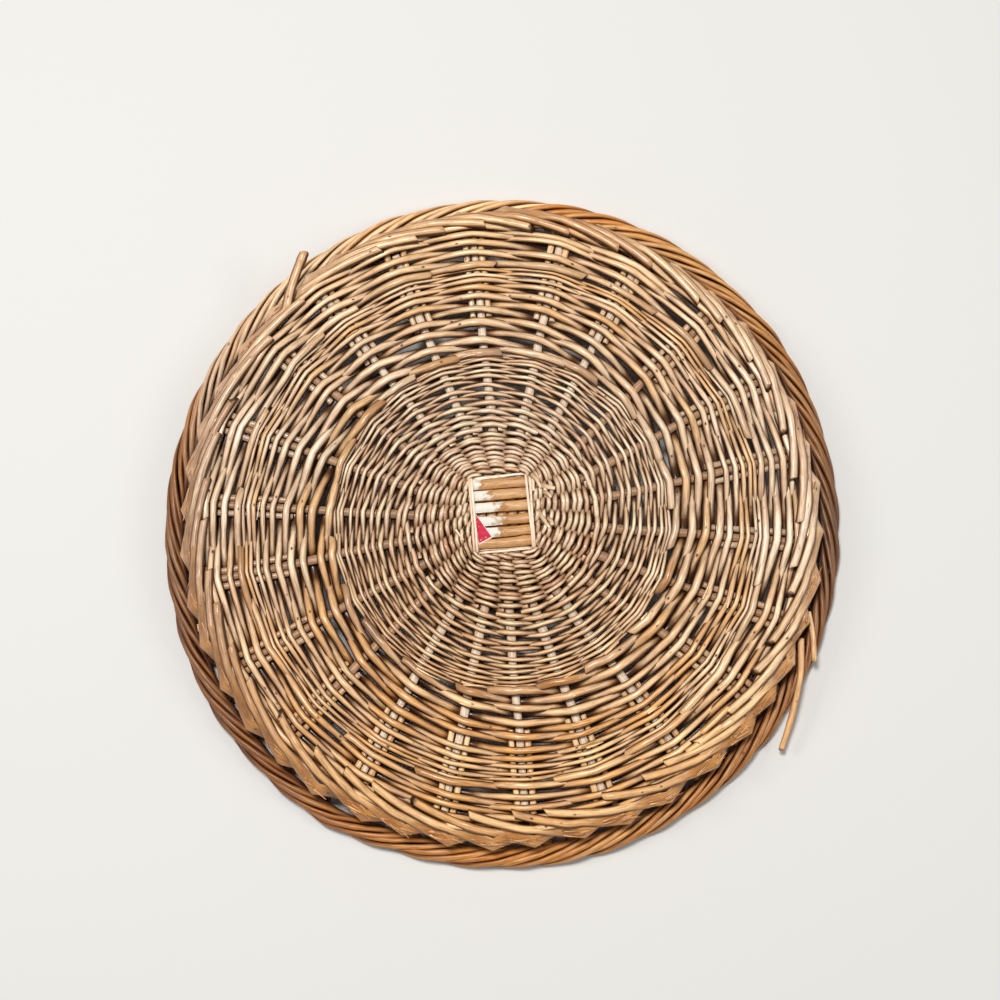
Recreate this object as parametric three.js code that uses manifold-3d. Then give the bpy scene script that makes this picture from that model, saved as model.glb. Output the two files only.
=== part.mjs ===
// Round willow tray, lying face down on its rolled rim with its underside up.
// Millimetres. X runs to the right, Y away from the viewer and Z up, out of the underside.
// The origin is on the table, under the middle of the rim.
import * as THREE from "three";
import { mergeVertices } from "three/addons/utils/BufferGeometryUtils.js";
import Module from "manifold-3d";

// Overall sizes
const RIM_DIAMETER = 400;
const ROPE_DIAMETER = 14;
const REST_FLAT_DEPTH = 0.5;
const BASE_HEIGHT = 28;
const RIM_FLARE = 15.5;
const FOOT_BAND = 16.5;

// Gap left between pieces that touch on the real tray
const CLEARANCE = 0.3;

// Cross of base sticks: one set lies across the other, and both fan out into the spokes
const ACROSS_STICKS = 6;
const ALONG_STICKS = 5;
const ACROSS_WIDTH = 5.8;
const ACROSS_GAP = 1.2;
const ALONG_WIDTH = 5.2;
const ALONG_GAP = 1;
const STICK_THICKNESS = 4.2;
const STICK_OVERHANG = 3;
const CROSS_TURN = 4.7;
const CROSS_SHIFT = 4;
const FAN_RADIUS = 46;
const STRAIGHT_SHARE = 0.25;

// Flat skein that ties the cross
const BINDING_WIDTH = 3;
const BINDING_THICKNESS = 0.8;

// Woven zones of the base
const FINE_ZONE_RADIUS = 95;
const FINE_ROD = 2.4;
const WEAVE_START_GAP = 4;
const COARSE_ROD = 4.4;
const COARSE_GAP = 2.1;
const COARSE_WEAVERS = 2;
const WEAVER_LEAD = 1.5;

// Stakes: pushed in beside each spoke, bent down to the rim and back up, and laid as the foot
const STAKE_DIAMETER = 4.6;
const STAKE_START_RADIUS = 124;
const FOOT_LENGTH = 68;
const WALL_SWEEP = 4;
const RISE_SWEEP = 6;
const SEAT_INSET = 2;

// Facets
const STICK_SIDES = 8;
const STAKE_SIDES = 6;
const ROPE_SIDES = 10;
const ROPE_STEPS = 64;
const DISC_STEPS = 66;
const BEND_STEPS = 3;
const FOOT_STEPS = 4;
const WELD_DISTANCE = 1e-4;

// Colours of the peeled willow
const STICK_COLOUR = 0xc9a878;
const BINDING_COLOUR = 0xe3cf9f;
const FINE_COLOUR = 0xcdb083;
const COARSE_COLOUR = 0xd0a768;
const STAKE_COLOUR = 0xd8b67e;
const ROPE_COLOUR = 0xa9742f;
const ROD_ROUGHNESS = 0.6;
const SKEIN_ROUGHNESS = 0.5;

// Places worked out from the sizes
const SPOKES = 2 * (ACROSS_STICKS + ALONG_STICKS);
const SPOKE_STEP = 360 / SPOKES;
const STAKES_BESIDE = [-1, 1];
const STATION_OFFSET = SPOKE_STEP / 4;
const ACROSS_PITCH = ACROSS_WIDTH + ACROSS_GAP;
const ALONG_PITCH = ALONG_WIDTH + ALONG_GAP;
const CROSS_HALF_X = ((ALONG_STICKS - 1) / 2) * ALONG_PITCH + ALONG_WIDTH / 2;
const CROSS_HALF_Y = ((ACROSS_STICKS - 1) / 2) * ACROSS_PITCH + ACROSS_WIDTH / 2;
const CROSS_LEVEL = (STICK_THICKNESS + CLEARANCE) / 2;
const BINDING_X = CROSS_HALF_X + CLEARANCE + BINDING_WIDTH / 2;
const BINDING_Y = CROSS_HALF_Y + CLEARANCE + BINDING_WIDTH / 2;
const BINDING_LIFT = (STICK_THICKNESS + BINDING_THICKNESS) / 2 + CLEARANCE;
const KINK_RADIUS = RIM_DIAMETER / 2 - RIM_FLARE;
const BASE_RADIUS = KINK_RADIUS - FOOT_BAND;
const STICK_END_RADIUS = BASE_RADIUS + STICK_OVERHANG;
const ROPE_RADIUS = (RIM_DIAMETER - ROPE_DIAMETER) / 2;
const ROPE_HEIGHT = ROPE_DIAMETER / 2 - REST_FLAT_DEPTH;
const FOOT_HEIGHT = BASE_HEIGHT + STAKE_DIAMETER + CLEARANCE;
const STAKE_SIDE_OFFSET = Math.max(ACROSS_WIDTH, ALONG_WIDTH) / 2 + CLEARANCE + STAKE_DIAMETER / 2;

// Small helpers
const radians = THREE.MathUtils.degToRad;
const degrees = THREE.MathUtils.radToDeg;

function polar(radius, angle, height) {
  const turn = radians(angle);
  return new THREE.Vector3(radius * Math.cos(turn), radius * Math.sin(turn), height);
}

// A point of the cross, which is turned a little and sits a little off the middle of the base
function crossPoint(x, y, height) {
  const turn = radians(CROSS_TURN);
  return new THREE.Vector3(
    x * Math.cos(turn) - y * Math.sin(turn),
    x * Math.sin(turn) + y * Math.cos(turn) + CROSS_SHIFT,
    height,
  );
}

// A rod's route through listed points, with its section kept level across
class Route extends THREE.Curve {
  constructor(points) {
    super();
    this.points = points;
  }

  getPoint(t, target = new THREE.Vector3()) {
    const place = t * (this.points.length - 1);
    const index = Math.min(Math.floor(place), this.points.length - 2);
    return target.lerpVectors(this.points[index], this.points[index + 1], place - index);
  }

  getPointAt(u, target) {
    return this.getPoint(u, target);
  }

  computeFrenetFrames(segments) {
    const up = new THREE.Vector3(0, 0, 1);
    const last = this.points.length - 1;
    const frames = { tangents: [], normals: [], binormals: [] };
    for (let i = 0; i <= segments; i++) {
      const before = this.points[Math.max(i - 1, 0)];
      const here = this.points[i];
      const after = this.points[Math.min(i + 1, last)];
      const arriving = here.clone().sub(before).normalize();
      const leaving = after.clone().sub(here).normalize();
      const tangent = arriving.add(leaving).normalize();
      const normal = up.clone().cross(tangent).normalize();
      frames.tangents.push(tangent);
      frames.normals.push(normal);
      frames.binormals.push(tangent.clone().cross(normal));
    }
    return frames;
  }
}

// Rod section with a flat on top and one below, the given thickness apart
function ovalSection(width, thickness, sides) {
  const turns = Array.from({ length: sides }, (_, i) => (2 * Math.PI * (i + 0.5)) / sides);
  const across = turns.map((turn) => -Math.sin(turn));
  const up = turns.map((turn) => Math.cos(turn));
  const widthScale = width / 2 / Math.max(...across);
  const upScale = thickness / 2 / Math.max(...up);
  return new THREE.Shape(across.map((x, i) => new THREE.Vector2(x * widthScale, up[i] * upScale)));
}

function squareSection(width, thickness) {
  return new THREE.Shape([
    new THREE.Vector2(-width / 2, -thickness / 2),
    new THREE.Vector2(width / 2, -thickness / 2),
    new THREE.Vector2(width / 2, thickness / 2),
    new THREE.Vector2(-width / 2, thickness / 2),
  ]);
}

function rod(points, section) {
  return new THREE.ExtrudeGeometry(section, {
    extrudePath: new Route(points),
    steps: points.length - 1,
    bevelEnabled: false,
  });
}

// The stretch of a smooth bend from one of its listed points to another
function bend(points, first, last) {
  const curve = new THREE.CatmullRomCurve3(points, false, "centripetal");
  const steps = (points.length - 1) * BEND_STEPS;
  const stretch = [];
  for (let step = first * BEND_STEPS; step <= last * BEND_STEPS; step++) {
    stretch.push(curve.getPoint(step / steps));
  }
  return stretch;
}

function revolve(profile, steps) {
  return new THREE.LatheGeometry(profile, steps).rotateX(Math.PI / 2);
}

// Solids for cutting
const wasm = await Module();
wasm.setup();

function toSolid(geometry) {
  const bare = geometry.clone();
  bare.deleteAttribute("normal");
  bare.deleteAttribute("uv");
  const merged = mergeVertices(bare, WELD_DISTANCE);
  return new wasm.Manifold(
    new wasm.Mesh({
      numProp: 3,
      vertProperties: new Float32Array(merged.attributes.position.array),
      triVerts: new Uint32Array(merged.index.array),
    }),
  );
}

function toGeometry(solid) {
  const mesh = solid.getMesh();
  const geometry = new THREE.BufferGeometry();
  geometry.setAttribute("position", new THREE.BufferAttribute(mesh.vertProperties, 3));
  geometry.setIndex(new THREE.BufferAttribute(mesh.triVerts, 1));
  geometry.computeVertexNormals();
  return geometry;
}

// Base sticks: each route runs from one spoke through the cross to the spoke opposite
function acrossRoute(index) {
  const place = index - (ACROSS_STICKS - 1) / 2;
  const right = CROSS_TURN + place * SPOKE_STEP;
  const left = CROSS_TURN + 180 - place * SPOKE_STEP;
  const reach = BINDING_X + BINDING_WIDTH / 2;
  const level = BASE_HEIGHT + CROSS_LEVEL;
  return stickRoute(
    left,
    crossPoint(-reach, place * ACROSS_PITCH, level),
    crossPoint(reach, place * ACROSS_PITCH, level),
    right,
  );
}

function alongRoute(index) {
  const place = index - (ALONG_STICKS - 1) / 2;
  const far = CROSS_TURN + 90 - place * SPOKE_STEP;
  const near = CROSS_TURN - 90 + place * SPOKE_STEP;
  const reach = BINDING_Y + BINDING_WIDTH / 2;
  const level = BASE_HEIGHT - CROSS_LEVEL;
  return stickRoute(
    near,
    crossPoint(place * ALONG_PITCH, -reach, level),
    crossPoint(place * ALONG_PITCH, reach, level),
    far,
  );
}

function stickRoute(startAngle, crossStart, crossEnd, endAngle) {
  const fanStart = polar(FAN_RADIUS, startAngle, BASE_HEIGHT);
  const fanEnd = polar(FAN_RADIUS, endAngle, BASE_HEIGHT);
  const startTip = polar(STICK_END_RADIUS, startAngle, BASE_HEIGHT);
  const endTip = polar(STICK_END_RADIUS, endAngle, BASE_HEIGHT);
  const straight = crossEnd.clone().sub(crossStart).multiplyScalar(STRAIGHT_SHARE);
  const inStart = crossStart.clone().add(straight);
  const inEnd = crossEnd.clone().sub(straight);
  const entry = bend([startTip, fanStart, crossStart, inStart], 1, 2);
  const exit = bend([inEnd, crossEnd, fanEnd, endTip], 1, 2);
  return [startTip, ...entry, ...exit, endTip];
}

// Skein loop that passes over the across sticks at the sides and over the along sticks at the ends
function bindingRoute() {
  const high = BASE_HEIGHT + CROSS_LEVEL + BINDING_LIFT;
  const low = BASE_HEIGHT - CROSS_LEVEL + BINDING_LIFT;
  const middle = (high + low) / 2;
  const sideEnd = CROSS_HALF_Y - BINDING_WIDTH / 2;
  const endEnd = CROSS_HALF_X - BINDING_WIDTH / 2;
  const seam = CLEARANCE;
  return [
    crossPoint(seam, -BINDING_Y, low),
    crossPoint(endEnd, -BINDING_Y, low),
    crossPoint(BINDING_X, -BINDING_Y, middle),
    crossPoint(BINDING_X, -sideEnd, high),
    crossPoint(BINDING_X, sideEnd, high),
    crossPoint(BINDING_X, BINDING_Y, middle),
    crossPoint(endEnd, BINDING_Y, low),
    crossPoint(-endEnd, BINDING_Y, low),
    crossPoint(-BINDING_X, BINDING_Y, middle),
    crossPoint(-BINDING_X, sideEnd, high),
    crossPoint(-BINDING_X, -sideEnd, high),
    crossPoint(-BINDING_X, -BINDING_Y, middle),
    crossPoint(-endEnd, -BINDING_Y, low),
    crossPoint(-seam, -BINDING_Y, low),
  ];
}

// Fine weave: one close mat round the cross, with a tunnel for every stick
function fineWeave(stickRoutes) {
  const edge = STICK_THICKNESS / 2 + CLEARANCE + FINE_ROD;
  const collar = edge + CROSS_LEVEL;
  const windowX = BINDING_X + BINDING_WIDTH / 2 + WEAVE_START_GAP;
  const windowY = BINDING_Y + BINDING_WIDTH / 2 + WEAVE_START_GAP;
  const collarRadius = Math.hypot(windowX, windowY);
  const outline = [
    [0, -collar],
    [collarRadius, -collar],
    [FAN_RADIUS, -edge],
    [FINE_ZONE_RADIUS, -edge],
    [FINE_ZONE_RADIUS, edge],
    [FAN_RADIUS, edge],
    [collarRadius, collar],
    [0, collar],
  ];
  const profile = outline.map(([radius, height]) => new THREE.Vector2(radius, height));
  const disc = revolve(profile, DISC_STEPS).translate(0, 0, BASE_HEIGHT);
  const window = new THREE.BoxGeometry(2 * windowX, 2 * windowY, 2 * (collar + CLEARANCE));
  window.rotateZ(radians(CROSS_TURN)).translate(0, CROSS_SHIFT, BASE_HEIGHT);
  let mat = toSolid(disc).subtract(toSolid(window));
  for (const { route, width } of stickRoutes) {
    const tunnel = ovalSection(width + 2 * CLEARANCE, STICK_THICKNESS + 2 * CLEARANCE, STICK_SIDES);
    mat = mat.subtract(toSolid(rod(route, tunnel)));
  }
  return toGeometry(mat);
}

// Coarse weave: two rods wound outward side by side, over one spoke and under the next in turn
const COARSE_PITCH = COARSE_ROD + COARSE_GAP;
const COARSE_START_RADIUS = FINE_ZONE_RADIUS + CLEARANCE + COARSE_ROD / 2;
const COARSE_END_RADIUS = BASE_RADIUS - COARSE_ROD / 2;

function coarseRoute(weaver) {
  const lift = (Math.max(STICK_THICKNESS, STAKE_DIAMETER) + COARSE_ROD) / 2 + CLEARANCE;
  const startRadius = COARSE_START_RADIUS + weaver * COARSE_PITCH;
  const gainPerSpoke = (COARSE_WEAVERS * COARSE_PITCH) / SPOKES;
  const steps = Math.floor((COARSE_END_RADIUS - startRadius) / gainPerSpoke);
  const stakesReach = STAKE_START_RADIUS - COARSE_ROD / 2 - CLEARANCE;
  const stickHalf = Math.max(ACROSS_WIDTH, ALONG_WIDTH) / 2;
  const groupHalf = STAKE_SIDE_OFFSET + STAKE_DIAMETER / 2;
  const points = [];
  for (let step = 0; step <= steps; step++) {
    const radius = startRadius + step * gainPerSpoke;
    const half = (radius > stakesReach ? groupHalf : stickHalf) + WEAVER_LEAD;
    const reach = degrees(half / radius);
    const spoke = spokeAngle(step);
    const height = BASE_HEIGHT + ((step + weaver) % 2 ? -lift : lift);
    points.push(polar(radius, spoke - reach, height), polar(radius, spoke + reach, height));
  }
  return points;
}

function spokeAngle(index) {
  return CROSS_TURN + (index + 0.5) * SPOKE_STEP;
}

// Rolled rim: the stake ends twisted together, cut flat where they stand on the table
function rimRope() {
  const section = ROPE_DIAMETER / 2;
  const start = -Math.asin(ROPE_HEIGHT / section);
  const profile = [];
  for (let i = 0; i <= ROPE_SIDES; i++) {
    const turn = start + ((Math.PI - 2 * start) * i) / ROPE_SIDES;
    const height = ROPE_HEIGHT + section * Math.sin(turn);
    profile.push(new THREE.Vector2(ROPE_RADIUS + section * Math.cos(turn), height));
  }
  profile.push(profile[0].clone());
  return revolve(profile, ROPE_STEPS);
}

// A stake: along its spoke, down to the rim, up to the kink over the base edge, back as a foot rod
function stakeRoute(spoke, side) {
  const station = spoke + side * STATION_OFFSET;
  const besideSpoke = (radius) => spoke + degrees(Math.asin((side * STAKE_SIDE_OFFSET) / radius));
  const seat = (ROPE_DIAMETER + STAKE_DIAMETER) / 2 + CLEARANCE;
  const seatHeight = (radius) => ROPE_HEIGHT + Math.sqrt(seat ** 2 - (ROPE_RADIUS - radius) ** 2);
  const shoulder = BASE_RADIUS + FOOT_BAND / 2;
  const dipRadius = ROPE_RADIUS - SEAT_INSET;
  const dip = polar(dipRadius, station - WALL_SWEEP, seatHeight(dipRadius));
  const kinkAngle = station - WALL_SWEEP - RISE_SWEEP;
  const kink = polar(KINK_RADIUS, kinkAngle, FOOT_HEIGHT);
  const footRadius = BASE_RADIUS + CLEARANCE + STAKE_DIAMETER / 2;
  const footAngle = degrees(FOOT_LENGTH / KINK_RADIUS);
  const foot = [];
  for (let step = 1; step <= FOOT_STEPS; step++) {
    const share = step / FOOT_STEPS;
    const radius = THREE.MathUtils.lerp(KINK_RADIUS, footRadius, share);
    foot.push(polar(radius, kinkAngle - share * footAngle, FOOT_HEIGHT));
  }
  const start = polar(STAKE_START_RADIUS, besideSpoke(STAKE_START_RADIUS), BASE_HEIGHT);
  const edge = polar(BASE_RADIUS, besideSpoke(BASE_RADIUS), BASE_HEIGHT);
  const turnDown = polar(shoulder, besideSpoke(shoulder), BASE_HEIGHT - CLEARANCE);
  const riseRadius = (dipRadius + KINK_RADIUS) / 2;
  const riseHeight = (dip.z + FOOT_HEIGHT) / 2;
  const rise = polar(riseRadius, station - WALL_SWEEP - RISE_SWEEP / 2, riseHeight);
  const wall = bend([edge, turnDown, dip, rise, kink], 1, 4);
  return [start, edge, ...wall, ...foot];
}

// Scene graph
const tray = new THREE.Group();

function add(parent, name, geometry, colour, roughness) {
  const material = new THREE.MeshStandardMaterial({ color: colour, roughness, metalness: 0 });
  const mesh = new THREE.Mesh(geometry, material);
  mesh.name = name;
  parent.add(mesh);
}

const numbered = (name, index) => `${name}_${String(index + 1).padStart(2, "0")}`;

const base = new THREE.Group();
tray.add(base);
const stickRoutes = [];
for (let i = 0; i < ACROSS_STICKS; i++) {
  const route = acrossRoute(i);
  stickRoutes.push({ route, width: ACROSS_WIDTH });
  const section = ovalSection(ACROSS_WIDTH, STICK_THICKNESS, STICK_SIDES);
  add(base, numbered("across_stick", i), rod(route, section), STICK_COLOUR, ROD_ROUGHNESS);
}
for (let i = 0; i < ALONG_STICKS; i++) {
  const route = alongRoute(i);
  stickRoutes.push({ route, width: ALONG_WIDTH });
  const section = ovalSection(ALONG_WIDTH, STICK_THICKNESS, STICK_SIDES);
  add(base, numbered("along_stick", i), rod(route, section), STICK_COLOUR, ROD_ROUGHNESS);
}
const skein = squareSection(BINDING_WIDTH, BINDING_THICKNESS);
add(base, "cross_binding", rod(bindingRoute(), skein), BINDING_COLOUR, SKEIN_ROUGHNESS);
add(base, "fine_weave", fineWeave(stickRoutes), FINE_COLOUR, ROD_ROUGHNESS);
const weaverSection = squareSection(COARSE_ROD, COARSE_ROD);
for (let i = 0; i < COARSE_WEAVERS; i++) {
  const geometry = rod(coarseRoute(i), weaverSection);
  add(base, numbered("coarse_weaver", i), geometry, COARSE_COLOUR, ROD_ROUGHNESS);
}

const border = new THREE.Group();
tray.add(border);
add(border, "rim_rope", rimRope(), ROPE_COLOUR, ROD_ROUGHNESS);
const stakeSection = ovalSection(STAKE_DIAMETER, STAKE_DIAMETER, STAKE_SIDES);
for (let i = 0; i < SPOKES; i++) {
  STAKES_BESIDE.forEach((side, place) => {
    const name = numbered("stake", STAKES_BESIDE.length * i + place);
    const geometry = rod(stakeRoute(spokeAngle(i), side), stakeSection);
    add(border, name, geometry, STAKE_COLOUR, ROD_ROUGHNESS);
  });
}

export default tray;
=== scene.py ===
"""Round willow tray, lying face down on its rim: the looks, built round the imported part."""
import math

import bpy
import numpy as np
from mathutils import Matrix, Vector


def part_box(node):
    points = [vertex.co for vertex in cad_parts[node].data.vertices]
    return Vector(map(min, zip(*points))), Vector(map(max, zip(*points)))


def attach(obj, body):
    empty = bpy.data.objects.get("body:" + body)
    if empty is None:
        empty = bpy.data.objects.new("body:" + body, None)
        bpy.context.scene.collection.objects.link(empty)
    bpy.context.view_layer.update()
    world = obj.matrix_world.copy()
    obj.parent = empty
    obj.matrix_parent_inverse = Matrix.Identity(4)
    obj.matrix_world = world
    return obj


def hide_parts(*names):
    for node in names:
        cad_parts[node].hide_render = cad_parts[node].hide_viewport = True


bl_info = {
    "name": "Willow tray",
    "version": (1, 0, 0),
    "blender": (4, 5, 0),
    "location": "View3D > Sidebar > Willow tray",
    "description": "Builds a round woven willow tray rod by rod, with its stage",
    "category": "Add Mesh",
}

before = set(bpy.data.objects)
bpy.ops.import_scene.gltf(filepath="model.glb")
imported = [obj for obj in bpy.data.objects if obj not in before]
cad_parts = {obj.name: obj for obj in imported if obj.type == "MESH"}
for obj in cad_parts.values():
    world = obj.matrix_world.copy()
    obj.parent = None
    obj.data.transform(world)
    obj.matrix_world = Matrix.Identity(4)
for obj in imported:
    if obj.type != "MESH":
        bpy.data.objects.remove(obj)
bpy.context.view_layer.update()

# Lengths below are in millimetres and angles in degrees
MM = 0.001
RIM_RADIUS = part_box("rim_rope")[1].x / MM

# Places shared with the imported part
SPOKES = 22
STEP = 360 / SPOKES
ACROSS_STICKS = 6
ALONG_STICKS = 5
ACROSS_PITCH = 7.0
ALONG_PITCH = 6.2
CROSS_TURN = 4.7
CROSS_SHIFT = 4.0
CROSS_LEVEL = 2.25
FAN_RADIUS = 46.0
BASE_HEIGHT = 28.0
BASE_RADIUS = 168.0
STICK_END = 171.0
BINDING_X = 16.8
BINDING_Y = 21.2
STAKE_START = 124.0
KINK_RADIUS = 184.5
FOOT_HEIGHT = 32.9
FOOT_RADIUS = 170.6
FOOT_SWEEP = 21.1
WALL_SWEEP = 4.0
RISE_SWEEP = 6.0
ROPE_RADIUS = 193.0
ROPE_HEIGHT = 6.5

# How far each across stick, counted from the lowest, lies off its even place
ACROSS_DRIFT = (0.0, -0.6, -0.9, 0.2, 0.4, 0.0)

# Seeds of the random draws, one for each group of rods
SEEDS = {
    "spokes": 22, "across": 100, "along": 120, "binding": 140, "coarse_inner": 200, "coarse_outer": 230,
    "fine_inner": 300, "fine_outer": 330, "stakes": 400, "rim": 500, "loose": 600, "splinters": 601,
    "label": 700,
}
# How far the spokes stray from even angles
SPOKE_STRAY = 1.1
SPOKE_DRIFT = np.random.default_rng(SEEDS["spokes"]).uniform(-SPOKE_STRAY, SPOKE_STRAY, SPOKES)

UP = np.array([0.0, 0.0, 1.0])
# Start, middle and end of a short run
HALFWAY = np.array([0.0, 0.5, 1.0])


def linear(code):
    """A colour written as sRGB hex, as the linear values that Blender wants."""
    parts = [int(code[i:i + 2], 16) / 255 for i in (1, 3, 5)]
    return tuple(c / 12.92 if c <= 0.04045 else ((c + 0.055) / 1.055) ** 2.4 for c in parts)


def colour(label, text, code):
    """A colour that a user can change."""
    return bpy.props.FloatVectorProperty(
        name=label, description=text, default=linear(code), subtype="COLOR", size=3, min=0, max=1
    )


def length(label, text, millimetres):
    """A size that a user can change."""
    return bpy.props.FloatProperty(
        name=label, description=text, default=millimetres * MM, unit="LENGTH", precision=4
    )


class WillowSizes(bpy.types.PropertyGroup):
    """Rod sizes of the tray."""

    stick_width: length("Stick width", "Width of a base stick where it crosses", 6.2)
    stick_thickness: length("Stick thickness", "Thickness of a base stick", 4.2)
    spoke_width: length("Spoke width", "Width of a base stick at its outer end", 4.4)
    skein_width: length("Skein width", "Width of one turn of the skein that ties the cross", 1.5)
    fine_butt: length("Fine rod butt", "Thickness of a thin weaver at its butt", 3.3)
    fine_tip: length("Fine rod tip", "Thickness of a thin weaver at its tip", 2.1)
    coarse_butt: length("Coarse rod butt", "Thickness of a thick weaver at its butt", 5.0)
    coarse_tip: length("Coarse rod tip", "Thickness of a thick weaver at its tip", 2.3)
    stake: length("Stake", "Thickness of a stake", 5.3)
    bye_stake: length("Bye stake", "Thickness of the stretch of a stake beside its spoke", 3.7)
    kink_width: length("Kink width", "Width of a stake where it is crushed at the kink", 8.8)
    rope_strand: length("Rim strand", "Thickness of a strand of the rolled rim", 3.9)


class WillowColours(bpy.types.PropertyGroup):
    """Colours of the willow and of the paper stuck to it."""

    straw: colour("Straw", "Palest rods", "#F0DABF")
    honey: colour("Honey", "Most rods", "#DEBD9B")
    rose: colour("Rose", "Rods with a pink cast", "#CFA888")
    amber: colour("Amber", "Rods that have aged to orange", "#D8AF7C")
    olive: colour("Olive", "Rods with a green cast", "#DAC4A6")
    caramel: colour("Caramel", "Sticks of the cross", "#BC8650")
    cream: colour("Cream", "Skein and torn fibre", "#F1E0BE")
    rim: colour("Rim", "Strands of the rolled rim", "#C0863F")
    torn: colour("Torn", "Crushed wood at the kinks", "#D59752")
    speck: colour("Speck", "Small dark marks in the wood", "#5A3418")
    # Pale is painted on weavers where they turn, as a painted reflection, and tints the paler ends of some
    # sticks
    pale: colour("Pale", "Bleached flanks of a weaver, away from its crest", "#E6D4BE")
    cut: colour("Cut end", "End grain of a cut rod", "#A98B70")
    paper: colour("Paper", "Paper left on the cross", "#F1EBDD")
    red: colour("Red paper", "Corner of coloured paper", "#D22F4A")
    floor: colour("Floor", "Studio floor", "#E6E4DF")


# Rods

def polar(radius, angle, height):
    """Points at a radius and an angle round the tray."""
    turn = np.radians(angle)
    radius, turn, height = np.broadcast_arrays(radius, turn, height)
    return np.stack([radius * np.cos(turn), radius * np.sin(turn), height], -1).astype(float)


def cross_point(x, y, height):
    """Points in the cross of sticks, which is turned and stands off the middle of the tray."""
    turn = math.radians(CROSS_TURN)
    x, y, height = np.broadcast_arrays(x, y, height)
    across = x * math.cos(turn) - y * math.sin(turn)
    along = x * math.sin(turn) + y * math.cos(turn) + CROSS_SHIFT
    return np.stack([across, along, height], -1).astype(float)


def spoke_angle(index):
    """Angle of a spoke, or of many. Numbers past the last spoke go round again."""
    return CROSS_TURN + (index + 0.5) * STEP + SPOKE_DRIFT[index % SPOKES]


def unit(vectors):
    return vectors / np.linalg.norm(vectors, axis=-1, keepdims=True)


def smooth(points, spacing):
    """A smooth curve through points, with a place about every spacing."""
    points = np.asarray(points, float)
    reach = np.concatenate([[0], np.cumsum(np.linalg.norm(np.diff(points, axis=0), axis=1))])
    slope = np.gradient(points, reach, axis=0)
    places = np.linspace(0, reach[-1], max(int(reach[-1] / spacing), 4))
    span = np.clip(np.searchsorted(reach, places, side="right") - 1, 0, len(points) - 2)
    width = (reach[span + 1] - reach[span])[:, None]
    u = ((places - reach[span])[:, None]) / width
    a = (2 * u ** 3 - 3 * u ** 2 + 1) * points[span]
    b = (u ** 3 - 2 * u ** 2 + u) * width * slope[span]
    c = (-2 * u ** 3 + 3 * u ** 2) * points[span + 1]
    d = (u ** 3 - u ** 2) * width * slope[span + 1]
    return a + b + c + d, places / reach[-1], span + u[:, 0]


def read(table, value):
    """Value of a table of places and values, and between its places too."""
    return np.interp(value, *zip(*table))


def round_tray(table, angle):
    """Value of a table of angles round the tray."""
    return read(table, angle % 360)


# Waves in the uneven run of a rod, as shares of the longest, and what their sum is divided by
WANDER_WAVES = (1.0, 0.53, 0.29)
WANDER_SUM = 1.8


def wander(rng, places, wave, amount):
    """Slow uneven drift along a rod, by about amount over each wave."""
    drift = np.zeros_like(places)
    for share in WANDER_WAVES:
        phase = rng.uniform(0, 2 * math.pi)
        drift += share * np.sin(2 * math.pi * places / (wave * share) + phase)
    return amount * drift / WANDER_SUM


# How a rod departs from an even round one: slow swells, knots, and an oval, slightly three-sided section
SWELL, SWELL_WAVE = 0.06, 34
KNOT_SWELL, KNOT_REACH, KNOT_SPACING = 0.09, 1.6, 55
OVAL, OVAL_TURN = 0.05, 40
THREE_SIDED, THREE_SIDED_TURN = 0.025, 25
# How far round a rod the oval and the three sides may start, in radians
SECTION_TURN = 6
# A rod widens where it folds, by no more than this limit allows
FOLD_LIMIT = 0.6
# A cut end has a face inside a bevel: size of the face, and how far bevel and face stand out, in widths
END_FACE, END_BEVEL, END_DOME = 0.84, 0.06, 0.02
# Each rod shows fibres from another place along this length
FIBRE_RUN = 9000


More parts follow.
